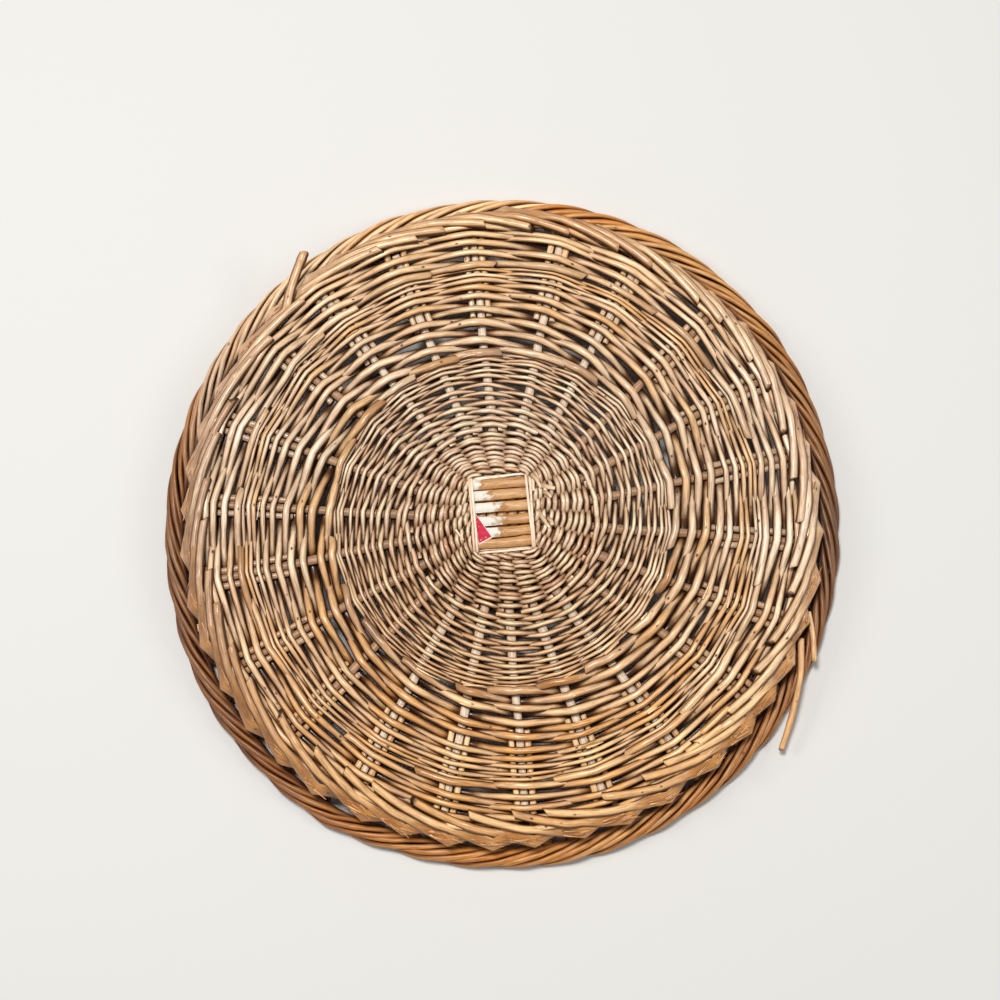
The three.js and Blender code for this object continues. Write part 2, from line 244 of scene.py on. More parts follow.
class Rods:
    """Rods gathered into one mesh, with what the willow shaders read at each point."""

    def __init__(self, seed):
        self.rng = np.random.default_rng(seed)
        self.points = []
        self.faces = []
        self.space = []
        self.tone = []
        self.shade = []
        self.cut = []
        self.bend = []
        self.count = 0

    def add(self, route, width, thickness, tone, shade=0.0, bend=0.0, up=UP, sides=10, slant=0.5, quill=0.0):
        """Adds one rod along a route, with its top toward up.

        Tone picks its colour. Shade is its painted shade and painted highlight, with some real age, and the
        amount after it tints bent wood, pale stick ends and painted reflection. Slant and quill tilt its
        ends.
        """
        rng = self.rng
        number = len(route)
        ahead = unit(np.gradient(route, axis=0))
        side = unit(np.cross(np.broadcast_to(up, route.shape), ahead))
        top = np.cross(ahead, side)
        run = np.concatenate([[0], np.cumsum(np.linalg.norm(np.diff(route, axis=0), axis=1))])
        turn = 2 * math.pi * np.arange(sides) / sides
        lump = 1 + wander(rng, run, SWELL_WAVE, SWELL)
        for knot in rng.uniform(0, run[-1], int(run[-1] / KNOT_SPACING)):
            lump += KNOT_SWELL * np.exp(-(((run - knot) / KNOT_REACH) ** 2))
        twist = rng.uniform(0, SECTION_TURN, 2)
        uneven = 1 + OVAL * np.cos(2 * turn + twist[0] + run[:, None] / OVAL_TURN)
        uneven += THREE_SIDED * np.cos(3 * turn + twist[1] - run[:, None] / THREE_SIDED_TURN)
        steps = unit(np.diff(route, axis=0))
        fold = np.ones(number)
        fold[1:-1] = np.sqrt(np.clip((1 + (steps[1:] * steps[:-1]).sum(1)) / 2, FOLD_LIMIT, 1))
        width = np.broadcast_to(width, number) / fold
        thickness = np.broadcast_to(thickness, number)
        across = (width / 2 * lump)[:, None] * uneven * np.cos(turn)
        high = (thickness / 2 * lump)[:, None] * uneven * np.sin(turn)
        tilt = rng.uniform(-slant, slant, 2)
        rings = route[:, None] + side[:, None] * across[..., None] + top[:, None] * high[..., None]
        rings[0] += ahead[0] * (tilt[0] * high[0] + quill * across[0])[:, None]
        rings[-1] += ahead[-1] * (tilt[1] * high[-1] - quill * across[-1])[:, None]
        pieces = [rings.reshape(-1, 3)]
        space = [np.stack([np.repeat(run, sides), across.ravel(), high.ravel()], -1)]
        if callable(shade):
            shade = shade(rings, np.sin(turn))
        else:
            shade = np.repeat(np.broadcast_to(shade, number), sides).reshape(number, sides)
        bend = np.broadcast_to(bend, number)
        shades = [shade.ravel()]
        bends = [np.repeat(bend, sides)]
        cuts = [np.zeros(number * sides)]
        start = self.count
        grid = start + np.arange(number * sides).reshape(number, sides)
        lower = grid[:-1]
        upper = grid[1:]
        quads = np.stack([lower, np.roll(lower, -1, 1), np.roll(upper, -1, 1), upper], -1)
        self.faces += quads.reshape(-1, 4).tolist()
        following = start + number * sides
        for end, sign in ((0, -1), (-1, 1)):
            bevel = route[end] + (rings[end] - route[end]) * END_FACE
            bevel = bevel + sign * ahead[end] * width[end] * END_BEVEL
            middle = bevel.mean(0) + sign * ahead[end] * width[end] * END_DOME
            pieces += [bevel, middle[None]]
            face = np.stack([np.full(sides, run[end]), across[end] * END_FACE, high[end] * END_FACE], -1)
            space += [face, np.array([[run[end], 0, 0]])]
            shades.append(np.append(shade[end], shade[end].mean()))
            bends.append(np.full(sides + 1, bend[end]))
            cuts.append(np.ones(sides + 1))
            rim = grid[end]
            inner = following + np.arange(sides)
            centre = following + sides
            for j in range(sides):
                k = (j + 1) % sides
                first, second = (j, k) if sign > 0 else (k, j)
                self.faces.append([rim[first], rim[second], inner[second], inner[first]])
                self.faces.append([inner[first], inner[second], centre])
            following += sides + 1
        total = following - start
        offset = np.array([rng.uniform(0, FIBRE_RUN), 0, 0])
        self.points.append(np.concatenate(pieces))
        self.space.append(np.concatenate(space) + offset)
        self.shade.append(np.concatenate(shades))
        self.bend.append(np.concatenate(bends))
        self.cut.append(np.concatenate(cuts))
        self.tone.append(np.full(total, tone))
        self.count = following

    def piece(self, name, material, slot, nodes=()):
        """Makes the rods gathered so far into one piece."""
        mesh = bpy.data.meshes.new(name)
        mesh.from_pydata((np.concatenate(self.points) * MM).tolist(), [], self.faces)
        mesh.polygons.foreach_set("use_smooth", np.ones(len(mesh.polygons), bool))
        space = mesh.attributes.new("rod_space", "FLOAT_VECTOR", "POINT")
        space.data.foreach_set("vector", np.concatenate(self.space).astype(np.float32).ravel())
        for label in ("tone", "shade", "cut", "bend"):
            layer = mesh.attributes.new("rod_" + label, "FLOAT", "POINT")
            values = np.concatenate(getattr(self, label)).astype(np.float32)
            layer.data.foreach_set("value", values)
        mesh.materials.append(material)
        mesh.validate()
        mesh.update()
        return place(name, mesh, nodes)


# Painted shade on a weaver, by its height against the middle of the weave and by how far up its side, and
# real age along its butt
DIP_SHADE = ((-0.4, 0.9), (-0.2, 0.64), (-0.06, 0.28), (0.1, 0.0))
SIDE_SHADE = ((0.15, 1.0), (0.45, 0.7), (0.74, 0.14), (0.95, 0.0))
BUTT_AGE = ((0, 1.0), (8, 0.7), (17, 0.0))
# How much further up its sides a weaver is painted with shade where it crosses from one side of the sticks to
# the other
CROSSING_EDGE = 0.16
# Painted shade on the weave, round the tray, where less light falls
WEAVE_SHADE = ((0, 0), (110, 0), (150, 0.02), (180, 0.03), (225, 0.1), (270, 0.05), (310, 0), (360, 0))
# Most painted shade on the flanks of a straight rod
FLANK_SHADE = 0.65


def hollow(middle, reach, turn, worn=0.0, edge=0.08, rise=0.0):
    """Painted light on a weaver: highlight on its crests, shade most where it dips between the sticks, at
    least worn at its butt.

    Turn is one where the rod crosses between the sticks and nought on its crests. Edge moves the painted
    shade up its sides, and rise lifts the height at which the painted dark dips begin.
    """
    butt = worn * read(BUTT_AGE, np.arange(len(middle)))

    def shade(rings, high):
        level = (rings[..., 2] - middle[:, None]) / reach[:, None]
        dip = read(DIP_SHADE, level - rise)
        side = read(SIDE_SHADE, high - edge - CROSSING_EDGE * turn[:, None])
        angle = np.degrees(np.arctan2(rings[..., 1], rings[..., 0]))
        return np.maximum(np.maximum(dip, side), butt[:, None]) + round_tray(WEAVE_SHADE, angle)
    return shade


def flanks(flat, depth=0.75):
    """Painted shade up both flanks of a rod to a depth, and at least the flat amount on its crown."""
    def shade(rings, high):
        side = np.interp(np.abs(high), [0.0, depth], [FLANK_SHADE, 0.0])
        return np.maximum(np.broadcast_to(flat, len(rings))[:, None], side)
    return shade


def place(name, mesh, nodes=()):
    """Puts a mesh in the scene as a piece of the tray."""
    piece = bpy.data.objects.new(name, mesh)
    bpy.context.scene.collection.objects.link(piece)
    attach(piece, "root")
    if nodes:
        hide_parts(*nodes)
    return piece


# Materials

def node(tree, kind, settings=(), inputs=()):
    """Adds a node with its settings. An input that is another node's socket is linked, any other is set."""
    made = tree.nodes.new(kind)
    for key, value in dict(settings).items():
        setattr(made, key, value)
    for key, given in dict(inputs).items():
        if isinstance(given, bpy.types.NodeSocket):
            tree.links.new(given, made.inputs[key])
        else:
            made.inputs[key].default_value = given
    return made


def stops(ramp, places):
    """Sets the stops of a colour ramp."""
    elements = ramp.color_ramp.elements
    while len(elements) < len(places):
        elements.new(0.5)
    for element, (position, tint) in zip(elements, places):
        element.position = position
        element.color = (*tint, 1.0)


# Painted highlight on a rod's crests and painted shade on its flanks and in its hollows, with some real age
# there too
PAINTED_LIGHT_AND_AGE = [
    (0.0, (1.3, 1.35, 1.46)),
    (0.1, (1.11, 1.1, 1.1)),
    (0.35, (0.75, 0.62, 0.53)),
    (0.7, (0.2, 0.12, 0.08)),
    (1.0, (0.03, 0.016, 0.01)),
]
# Lighter and darker fibres
FIBRES = [(0.3, (0.5, 0.42, 0.35)), (0.48, (0.95, 0.94, 0.92)), (0.66, (1.3, 1.28, 1.22))]
FIBRE_DEPTH = 0.85
FIBRE_RELIEF = 0.25
# Painted light: the colour is painted warmer away from a line across the tray, from one distance off it to
# another, standing in for warmer light there
WARM_TINT = (1.07, 0.87, 0.57, 1)
WARM_LINE, WARM_FROM, WARM_TO = 30, 30, 170

# Each willow: tints, tint for bent wood, pale stick ends and painted reflection, roughness, sizes in
# millimetres of its fibres, stains and specks, and the share of the specks that show
WILLOWS = {
    # Whole peeled rods dried pale: honey to straw, satin where the skin was, with painted shade in the
    # hollows
    "peeled_willow_thick_rod": (
        ("olive", "honey", "straw", "honey", "amber", "honey"), "pale", 0.26, 0.9, 22, 3.5, 0.2,
    ),
    # Thin tips of the same willow: paler, with tighter fibres
    "peeled_willow_thin_rod": (
        ("honey", "straw", "cream", "honey", "straw", "rose"), "pale", 0.26, 0.7, 14, 3, 0.1,
    ),
    # Stout sticks, shaved flat where they cross: caramel, with long straight fibres
    "shaved_willow_stick": (("caramel", "amber", "caramel"), "pale", 0.42, 0.6, 26, 4, 0.12),
    # Split and shaved willow ribbon: cream, slightly glossy on its flat face
    "split_willow_skein": (("straw", "honey", "straw"), "pale", 0.42, 0.3, 18, 5, 0.05),
    # Soaked stakes bent by hand: pale on the run, crushed and orange at the kink
    "bent_willow_stake": (("honey", "straw", "straw", "honey", "olive"), "torn", 0.28, 0.9, 24, 3.5, 0.2),
    # Stake ends twisted round each other: handled most, so browner, with a soft gloss
    "twisted_willow_rim": (("rim", "amber", "rim", "torn", "straw"), "torn", 0.38, 0.9, 30, 4, 0.1),
    # Torn fibres: dry inner wood, dull and pale
    "torn_willow_fibre": (("cream", "torn", "cream"), "torn", 0.65, 0.25, 10, 4, 0.05),
}


def willow(name, colours):
    """Peeled willow. Fine fibres run along each rod, with stains, specks, some age, painted highlights and
    painted shade.
    """
    found = bpy.data.materials.get(name)
    if found:
        return found
    tints, bend_and_reflection_tint, roughness, fibre_mm, stain_mm, speck_mm, speck_share = WILLOWS[name]
    material = bpy.data.materials.new(name)
    material.use_nodes = True
    tree = material.node_tree
    tree.nodes.clear()
    rod = {}
    for label in ("space", "tone", "shade", "cut", "bend"):
        rod[label] = node(tree, "ShaderNodeAttribute", {"attribute_name": "rod_" + label})
    palette = node(tree, "ShaderNodeValToRGB", inputs={"Fac": rod["tone"].outputs["Fac"]})
    stops(palette, [(i / (len(tints) - 1), getattr(colours, tint)) for i, tint in enumerate(tints)])
    # Fibres are drawn ten times as long as they are wide, and about three times as wide as real ones, so that
    # they show. Stains are three times as long as they are wide, and specks are nearly round.
    spread = {}
    for label, size, run, across in (
        ("fibre", fibre_mm, 0.1, 1), ("stain", stain_mm, 1, 3), ("speck", speck_mm, 0.6, 1),
    ):
        scaled = node(
            tree, "ShaderNodeVectorMath", {"operation": "MULTIPLY"},
            {0: rod["space"].outputs["Vector"], 1: (run / size, across / size, across / size)},
        )
        spread[label] = scaled.outputs["Vector"]
    fibre = node(
        tree, "ShaderNodeTexNoise",
        inputs={"Vector": spread["fibre"], "Scale": 1.0, "Detail": 4.0, "Roughness": 0.62},
    )
    fibre_tint = node(tree, "ShaderNodeValToRGB", inputs={"Fac": fibre.outputs["Fac"]})
    stops(fibre_tint, FIBRES)
    stain = node(
        tree, "ShaderNodeTexNoise",
        inputs={"Vector": spread["stain"], "Scale": 1.0, "Detail": 3.0, "Roughness": 0.55},
    )
    stain_amount = node(
        tree, "ShaderNodeMapRange",
        inputs={"Value": stain.outputs["Fac"], "From Min": 0.52, "From Max": 0.75, "To Max": 0.4},
    )
    speck = node(
        tree, "ShaderNodeTexVoronoi", {"feature": "F1"},
        {"Vector": spread["speck"], "Scale": 1.0, "Randomness": 1.0},
    )
    speck_near = node(
        tree, "ShaderNodeMapRange", inputs={
            "Value": speck.outputs["Distance"], "From Min": 0.1, "From Max": 0.24,
            "To Min": 1.0, "To Max": 0.0,
        },
    )
    speck_few = node(
        tree, "ShaderNodeMath", {"operation": "LESS_THAN"}, {0: speck.outputs["Color"], 1: speck_share},
    )
    speck_mask = node(
        tree, "ShaderNodeMath", {"operation": "MULTIPLY"},
        {0: speck_near.outputs["Result"], 1: speck_few.outputs["Value"]},
    )
    side = node(tree, "ShaderNodeTexCoord")
    apart = node(tree, "ShaderNodeSeparateXYZ", inputs={"Vector": side.outputs["Object"]})
    shift = node(
        tree, "ShaderNodeMath", {"operation": "SUBTRACT"}, {0: apart.outputs["Y"], 1: WARM_LINE * MM},
    )
    off = node(tree, "ShaderNodeMath", {"operation": "ABSOLUTE"}, {0: shift.outputs["Value"]})
    warm = node(
        tree, "ShaderNodeMapRange",
        inputs={"Value": off.outputs["Value"], "From Min": WARM_FROM * MM, "From Max": WARM_TO * MM},
    )
    # Painted shade and painted highlight, with some real age, from each point's shade value
    shade_and_age = node(tree, "ShaderNodeValToRGB", inputs={"Fac": rod["shade"].outputs["Fac"]})
    stops(shade_and_age, PAINTED_LIGHT_AND_AGE)
    # Painted warm light, the tint of bent wood and of painted reflection, fibres, stains, specks, cut ends,
    # and last the painted shade and highlight
    layers = (
        ("MULTIPLY", warm.outputs["Result"], WARM_TINT),
        ("MIX", rod["bend"].outputs["Fac"], (*getattr(colours, bend_and_reflection_tint), 1)),
        ("MULTIPLY", FIBRE_DEPTH, fibre_tint.outputs["Color"]),
        ("MIX", stain_amount.outputs["Result"], (*colours.rose, 1)),
        ("MIX", speck_mask.outputs["Value"], (*colours.speck, 1)),
        ("MIX", rod["cut"].outputs["Fac"], (*colours.cut, 1)),
        ("MULTIPLY", 1.0, shade_and_age.outputs["Color"]),
    )
    shown = palette.outputs["Color"]
    for blend, amount, tint in layers:
        mixed = node(
            tree, "ShaderNodeMix", {"data_type": "RGBA", "blend_type": blend},
            {"Factor": amount, "A": shown, "B": tint},
        )
        shown = mixed.outputs["Result"]
    rough = node(
        tree, "ShaderNodeMapRange", inputs={
            "Value": fibre.outputs["Fac"], "From Min": 0.3, "From Max": 0.7,
            "To Min": roughness + 0.1, "To Max": roughness - 0.08,
        },
    )
    bump = node(
        tree, "ShaderNodeBump",
        inputs={"Strength": 0.35, "Distance": FIBRE_RELIEF * MM, "Height": fibre.outputs["Fac"]},
    )
    surface = node(
        tree, "ShaderNodeBsdfPrincipled", inputs={
            "IOR": 1.5, "Base Color": shown, "Roughness": rough.outputs["Result"],
            "Normal": bump.outputs["Normal"],
        },
    )
    node(tree, "ShaderNodeOutputMaterial", inputs={"Surface": surface.outputs["BSDF"]})
    return material


# Relief of creased paper
CREASE_RELIEF = 0.2


def paper(name, tint, under, crease_mm, bare):
    """Thin paper that has been torn. It is dull and creased, and shows what is under it where it is worn."""
    material = bpy.data.materials.new(name)
    material.use_nodes = True
    tree = material.node_tree
    tree.nodes.clear()
    where = node(tree, "ShaderNodeTexCoord")
    crease = node(
        tree, "ShaderNodeTexNoise", inputs={
            "Vector": where.outputs["Object"], "Scale": 1 / (crease_mm * MM), "Detail": 5.0, "Roughness": 0.6,
        },
    )
    edge = node(tree, "ShaderNodeAttribute", {"attribute_name": "paper_edge"})
    left = node(
        tree, "ShaderNodeMath", {"operation": "MULTIPLY_ADD"},
        {0: edge.outputs["Fac"], 1: -0.5, 2: crease.outputs["Fac"]},
    )
    worn = node(tree, "ShaderNodeValToRGB", inputs={"Fac": left.outputs["Value"]})
    stops(worn, [(bare - 0.16, under), (bare + 0.05, tint), (0.8, tint)])
    bump = node(
        tree, "ShaderNodeBump",
        inputs={"Strength": 0.4, "Distance": CREASE_RELIEF * MM, "Height": crease.outputs["Fac"]},
    )
    surface = node(
        tree, "ShaderNodeBsdfPrincipled", inputs={
            "Roughness": 0.75, "IOR": 1.45, "Base Color": worn.outputs["Color"],
            "Normal": bump.outputs["Normal"],
        },
    )
    node(tree, "ShaderNodeOutputMaterial", inputs={"Surface": surface.outputs["BSDF"]})
    return material


# Base

# Points along a stick: radii of its spokes, then shares of its stretch in the cross
SPOKE_RADII = (STICK_END, 110.0, 64.0, FAN_RADIUS)
CROSS_SHARES = (0.0, 0.33, 0.67, 1.0)
# How far the cross reaches past its binding
CROSS_REACH = 1.5
# Thickness of a stick from its middle to its ends
STICK_THICKNESS = ((0, 1), (0.14, 1), (0.18, 0.85), (0.3, 0.9), (1, 0.9))
# Run of a stick, and the waves and size of its uneven drift
STICK_RUN, STICK_WAVE, STICK_STRAY = 330, 90, 0.5
# Share of that drift in the cross, and how quickly it grows outward
STICK_CALM, STICK_FREES = 0.15, 3
STICK_SPACING = 2.2
# Painted shade and paleness of a stick from its middle to its ends
ACROSS_SHADE = ((0.12, 0.1), (0.16, 0.5), (0.35, 0.4), (0.6, 0.32))
ACROSS_PALE = ((0.16, 0.0), (0.35, 0.35))
ALONG_SHADE = ((0.12, 0.1), (0.16, 0.5), (0.35, 0.2), (0.6, 0.08))
ALONG_PALE = ((0.16, 0.0), (0.35, 0.75))
# How far down its flanks a stick is painted with shade
STICK_FLANK = 0.4


def base_stick(rods, sizes, angles, ends, shade_and_age, pale):
    """A stick from one spoke's tip through the cross to the tip of the spoke opposite."""
    spokes = [[polar(radius, angle, BASE_HEIGHT) for radius in SPOKE_RADII] for angle in angles]
    middle = [ends[0] + (ends[1] - ends[0]) * share for share in CROSS_SHARES]
    route, share, _ = smooth(spokes[0] + middle + spokes[1][::-1], STICK_SPACING)
    outward = np.abs(share - 0.5) * 2
    taper = ((0, 1), (0.15, 1), (0.4, 0.9), (1, sizes.spoke_width / sizes.stick_width))
    width = read(taper, outward) * sizes.stick_width / MM
    thickness = read(STICK_THICKNESS, outward) * sizes.stick_thickness / MM
    rng = rods.rng
    calm = np.clip(outward * STICK_FREES, STICK_CALM, 1)
    for axis in (0, 1):
        route[:, axis] += wander(rng, share * STICK_RUN, STICK_WAVE, STICK_STRAY) * calm
    # Painted shade along the stick and on its flanks
    shade = flanks(read(shade_and_age, outward), STICK_FLANK)
    rods.add(route, width, thickness, rng.uniform(0, 1), shade, read(pale, outward), sides=12)


def cross_half(count, pitch, width):
    """Half the width of a set of sticks side by side."""
    return (count - 1) / 2 * pitch + width / 2


def make_sticks(sizes, colours):
    """Both sets of sticks: across, on top and darker, and along, below and paler outside the cross."""
    material = willow("shaved_willow_stick", colours)
    reach = BINDING_X + CROSS_REACH
    level = BASE_HEIGHT + CROSS_LEVEL
    for index in range(ACROSS_STICKS):
        row = index - (ACROSS_STICKS - 1) / 2
        y = row * ACROSS_PITCH + ACROSS_DRIFT[index]
        angles = spoke_angle(round(SPOKES / 2 - row - 0.5)), spoke_angle(round(row - 0.5))
        ends = cross_point(-reach, y, level), cross_point(reach, y, level)
        rods = Rods(SEEDS["across"] + index)
        base_stick(rods, sizes, angles, ends, ACROSS_SHADE, ACROSS_PALE)
        name = f"across_stick_{index + 1:02d}"
        rods.piece("willow_" + name, material, "base_stick", [name])
    reach = BINDING_Y + CROSS_REACH
    level = BASE_HEIGHT - CROSS_LEVEL
    for index in range(ALONG_STICKS):
        row = index - (ALONG_STICKS - 1) / 2
        x = row * ALONG_PITCH
        angles = spoke_angle(round(row - SPOKES / 4 - 0.5)), spoke_angle(round(SPOKES / 4 - row - 0.5))
        ends = cross_point(x, -reach, level), cross_point(x, reach, level)
        rods = Rods(SEEDS["along"] + index)
        base_stick(rods, sizes, angles, ends, ALONG_SHADE, ALONG_PALE)
        name = f"along_stick_{index + 1:02d}"
        rods.piece("willow_" + name, material, "base_stick", [name])


# The two turns of skein on each side of the cross, in widths off their middle, and the thickness of the skein
SKEIN_TURNS = (-0.52, 0.52)
SKEIN_THICKNESS = 0.9
# How far a turn bears on the outermost stick, passes it and reaches down beside it
SKEIN_BEARS, SKEIN_PASSES, SKEIN_ENDS = 1.6, 0.4, 1.6
# How far it drops there, past the stick and at its end, over the across sticks and over the along sticks
ACROSS_DROPS, ALONG_DROPS = (1.6, 5.0), (1.4, 4.4)
# How far it stands off the sticks, rises in the middle and leans
SKEIN_STANDS, SKEIN_CROWN, SKEIN_LEAN = 0.4, 0.1, 0.4
SKEIN_SPACING = 0.8


def make_binding(sizes, colours):
    """Two turns of skein over each side of the cross."""
    rods = Rods(SEEDS["binding"])
    width = sizes.skein_width / MM
    top = BASE_HEIGHT + sizes.stick_thickness / MM / 2 + SKEIN_STANDS
    side_end = cross_half(ACROSS_STICKS, ACROSS_PITCH, sizes.stick_width / MM)
    end_end = cross_half(ALONG_STICKS, ALONG_PITCH, sizes.stick_width / MM)
    for turn in SKEIN_TURNS:
        for sign in (-1, 1):
            lean = rods.rng.uniform(-SKEIN_LEAN, SKEIN_LEAN)
            # Whether it ties the along sticks, its place, the end of its run, its height and its drops
            for over_along, at, end, level, (low, lowest) in (
                (False, sign * BINDING_X + turn * width, side_end, top + CROSS_LEVEL, ACROSS_DROPS),
                (True, sign * BINDING_Y + turn * width, end_end, top - CROSS_LEVEL, ALONG_DROPS),
            ):
                points = []
                for run, aside, drop in (
                    (-end - SKEIN_ENDS, -lean, lowest), (-end - SKEIN_PASSES, -lean, low),
                    (-end + SKEIN_BEARS, -lean, 0.0), (0.0, 0.0, -SKEIN_CROWN),
                    (end - SKEIN_BEARS, lean, 0.0), (end + SKEIN_PASSES, lean, low),
                    (end + SKEIN_ENDS, lean, lowest),
                ):
                    x, y = (run, at + aside) if over_along else (at + aside, run)
                    points.append(cross_point(x, y, level - drop))
                route, _, _ = smooth(points, SKEIN_SPACING)
                rods.add(route, width, SKEIN_THICKNESS, rods.rng.uniform(0, 1), sides=8)
    rods.piece("willow_cross_binding", willow("split_willow_skein", colours), "skein", ["cross_binding"])


# Weave

# How straight a weaver runs between two sticks, by how far it is toward two opposite edges, where it bows
STRAIGHT = ((0.55, 0.9), (0.9, 0.45))
# Where a rod on its way down crosses one on its way up, by the share of its size that it lies higher
OVERLAP, CLOSE_OVERLAP = 0.24, 0.25
# How far a weaver strays from its row, then waves in spokes and drift along its run: in rows and in radius
ROW_STRAY = 0.2
ROW_WAVE, ROW_DRIFT = 6.0, 0.14
RADIUS_WAVE, RADIUS_DRIFT = 1.7, 0.3
# How far a butt has sunk toward the middle of the weave
BUTT_SINK = (0.1, 0.9)
# Where a weaver turns from one side of the sticks to the other, by its height, and how pale a painted
# reflection it gets there
TURNING = ((0.2, 1.0), (0.8, 0.0))
TURN_REFLECTION = (0.0, 0.4)


def weaver(first, passes, lead, tail, radius_at, middle_at, half, size_at, over, rng, steps):
    """One weaver, over one spoke and under the next while it climbs outward, one row every two spokes.

    It starts in the space before its first spoke. Between spokes, a rod on its way down lies over the rods on
    their way up by a share of its size. Gives its route, its size, the middle of the weave, where it turns
    from one side of the spokes to the other, and how pale a painted reflection makes it there.
    """
    t = np.linspace(-lead, passes - 1 + tail, int((passes - 1 + lead + tail) * steps))
    gap = np.floor(t).astype(int)
    before = spoke_angle(first + gap)
    after = spoke_angle(first + gap + 1)
    angle = before + (t - gap) * (after - before)
    lap = np.radians(after - before) / 2
    swing = np.radians(angle - before) - lap
    straight = read(STRAIGHT, np.abs(np.sin(np.radians(angle))))
    chord = 1 + straight * (np.cos(lap) / np.cos(swing) - 1)
    row = t / 2 + rng.uniform(-ROW_STRAY, ROW_STRAY) + wander(rng, t, ROW_WAVE, ROW_DRIFT)
    wave = np.cos(math.pi * t)
    early = t < 0
    wave[early] = 1 - rng.uniform(*BUTT_SINK) * (t[early] / lead) ** 2
    middle = middle_at(row, angle)
    size = size_at(row, angle)
    cross = np.where(early, 0, np.sin(math.pi * t))
    height = middle + (half + size / 2) * wave + over * size * cross
    turn = read(TURNING, np.abs(wave))
    # Painted reflection: paler where the weaver turns
    pale = turn * rng.uniform(*TURN_REFLECTION)
    radius = radius_at(row, angle) * chord + wander(rng, t, RADIUS_WAVE, RADIUS_DRIFT)
    return polar(radius, angle, height), size, middle, turn, pale


def rows_at(table):
    """Radius of a weaver at each row, from a table of rows."""
    places = np.arange(len(table))

    def radius(row, angle):
        return np.interp(row, places, table)
    return radius


def taper_at(table, butt, tip, grow):
    """Thickness of a weaver at each row, from a table of shares between its tip and its butt."""
    places = np.arange(len(table))

    def size(row, angle):
        return grow * (tip + (butt - tip) * np.interp(row, places, table))
    return size


def level_base(row, angle):
    """Middle of the weave where both sets of sticks are level."""
    return np.full_like(row, BASE_HEIGHT)


# Radius of each row of the weave, and how thick the rods still are there between tip and butt
COARSE_INNER_ROWS = (99.6, 108.7, 117.3, 125.4, 133.0, 139.2, 143.5, 147.3, 150.5, 153.0)
COARSE_INNER_TAPER = (1.0, 1.0, 0.93, 0.82, 0.63, 0.41, 0.22, 0.07, 0.0)
COARSE_OUTER_ROWS = (153.2, 160.6, 167.0, 172.4, 177.4, 181.0)
COARSE_OUTER_TAPER = (0.9, 0.84, 0.76, 0.68, 0.6)
FINE_OUTER_ROWS = (55.4, 60.2, 65.5, 70.9, 76.0, 80.8, 85.3, 89.2, 92.6, 95.4, 97.6, 99.0)
FINE_OUTER_TAPER = (1.0, 0.94, 0.82, 0.7, 0.6, 0.47, 0.3, 0.18, 0.1, 0.06, 0.0)
# The innermost rows start round the binding, a rounded oblong, and even out to a circle
FINE_INNER_ROWS = 9
FINE_INNER_END = 53.4
HOLE_X = BINDING_X + 2.6
HOLE_Y = BINDING_Y + 2.8
HOLE_POWER = 5.0
# Places along a weaver between two spokes
COARSE_STEPS = 14
FINE_STEPS = 12
# How rods differ: thickness, how far before a spoke they start and past one they end
COARSE_SPREAD, COARSE_LEAD, COARSE_TAIL = (0.86, 1.12), (0.2, 0.7), (0.6, 0.95)
FINE_SPREAD, FINE_LEAD, FINE_TAIL = (0.9, 1.08), (0.45, 0.65), (0.6, 0.95)
INNER_SPREAD, INNER_LEAD, INNER_TAIL = (0.94, 1.06), 0.6, 0.8
# Waves in the height of a thick rod, how aged its butt is and how its ends are cut
COARSE_WAVE, COARSE_LIFT = 5.0, 0.25
COARSE_WORN, COARSE_QUILL = (0, 0.5), (-0.8, 0.8)
# Rods are pressed a little flat
COARSE_PRESSED, FINE_PRESSED = 0.94, 0.95
# An inner rod fills this share of its row, is at least so thick and at most this share of a butt
INNER_FILL, INNER_LEAST, INNER_MOST = 0.98, 2.2, 1.15
# Rows past the last one before the inner weave is a circle, and how steeply it goes from level to level
INNER_SPARE, INNER_STEEP = 0.4, 2.5
# How much further up the inner rods are painted with shade, and how much higher their painted dark dips begin
INNER_EDGE, INNER_RISE = 0.2, 0.4


def make_coarse_weave(sizes, colours):
    """Two bands of thick rods, one rod from every spoke."""
    material = willow("peeled_willow_thick_rod", colours)
    half = sizes.stick_thickness / MM / 2
    bands = (
        ("inner", "coarse_weaver_01", COARSE_INNER_ROWS, COARSE_INNER_TAPER),
        ("outer", "coarse_weaver_02", COARSE_OUTER_ROWS, COARSE_OUTER_TAPER),
    )
    for label, stands_for, rows, taper in bands:
        for index in range(SPOKES):
            rods = Rods(SEEDS["coarse_" + label] + index)
            rng = rods.rng
            grow = rng.uniform(*COARSE_SPREAD)
            size_at = taper_at(taper, sizes.coarse_butt / MM, sizes.coarse_tip / MM, grow)
            route, size, middle, turn, pale = weaver(
                index, 2 * len(rows) - 3, rng.uniform(*COARSE_LEAD), rng.uniform(*COARSE_TAIL),
                rows_at(rows), level_base, half, size_at, OVERLAP, rng, COARSE_STEPS,
            )
            route[:, 2] += wander(rng, np.arange(len(route)) / COARSE_STEPS, COARSE_WAVE, COARSE_LIFT)
            shade = hollow(middle, half + size, turn, rng.uniform(*COARSE_WORN))
            rods.add(
                route, size, size * COARSE_PRESSED, rng.uniform(0, 1), shade, pale, sides=14,
                quill=rng.uniform(*COARSE_QUILL),
            )
            nodes = [stands_for] if index == 0 else []
            rods.piece(f"willow_coarse_{label}_{index + 1:02d}", material, "coarse_weave", nodes)


def hole_radius(angle):
    """Distance of the first row from the middle of the cross."""
    turn = np.radians(angle - CROSS_TURN)
    cosine = np.abs(np.cos(turn)) / HOLE_X
    sine = np.abs(np.sin(turn)) / HOLE_Y
    return (cosine ** HOLE_POWER + sine ** HOLE_POWER) ** (-1 / HOLE_POWER)


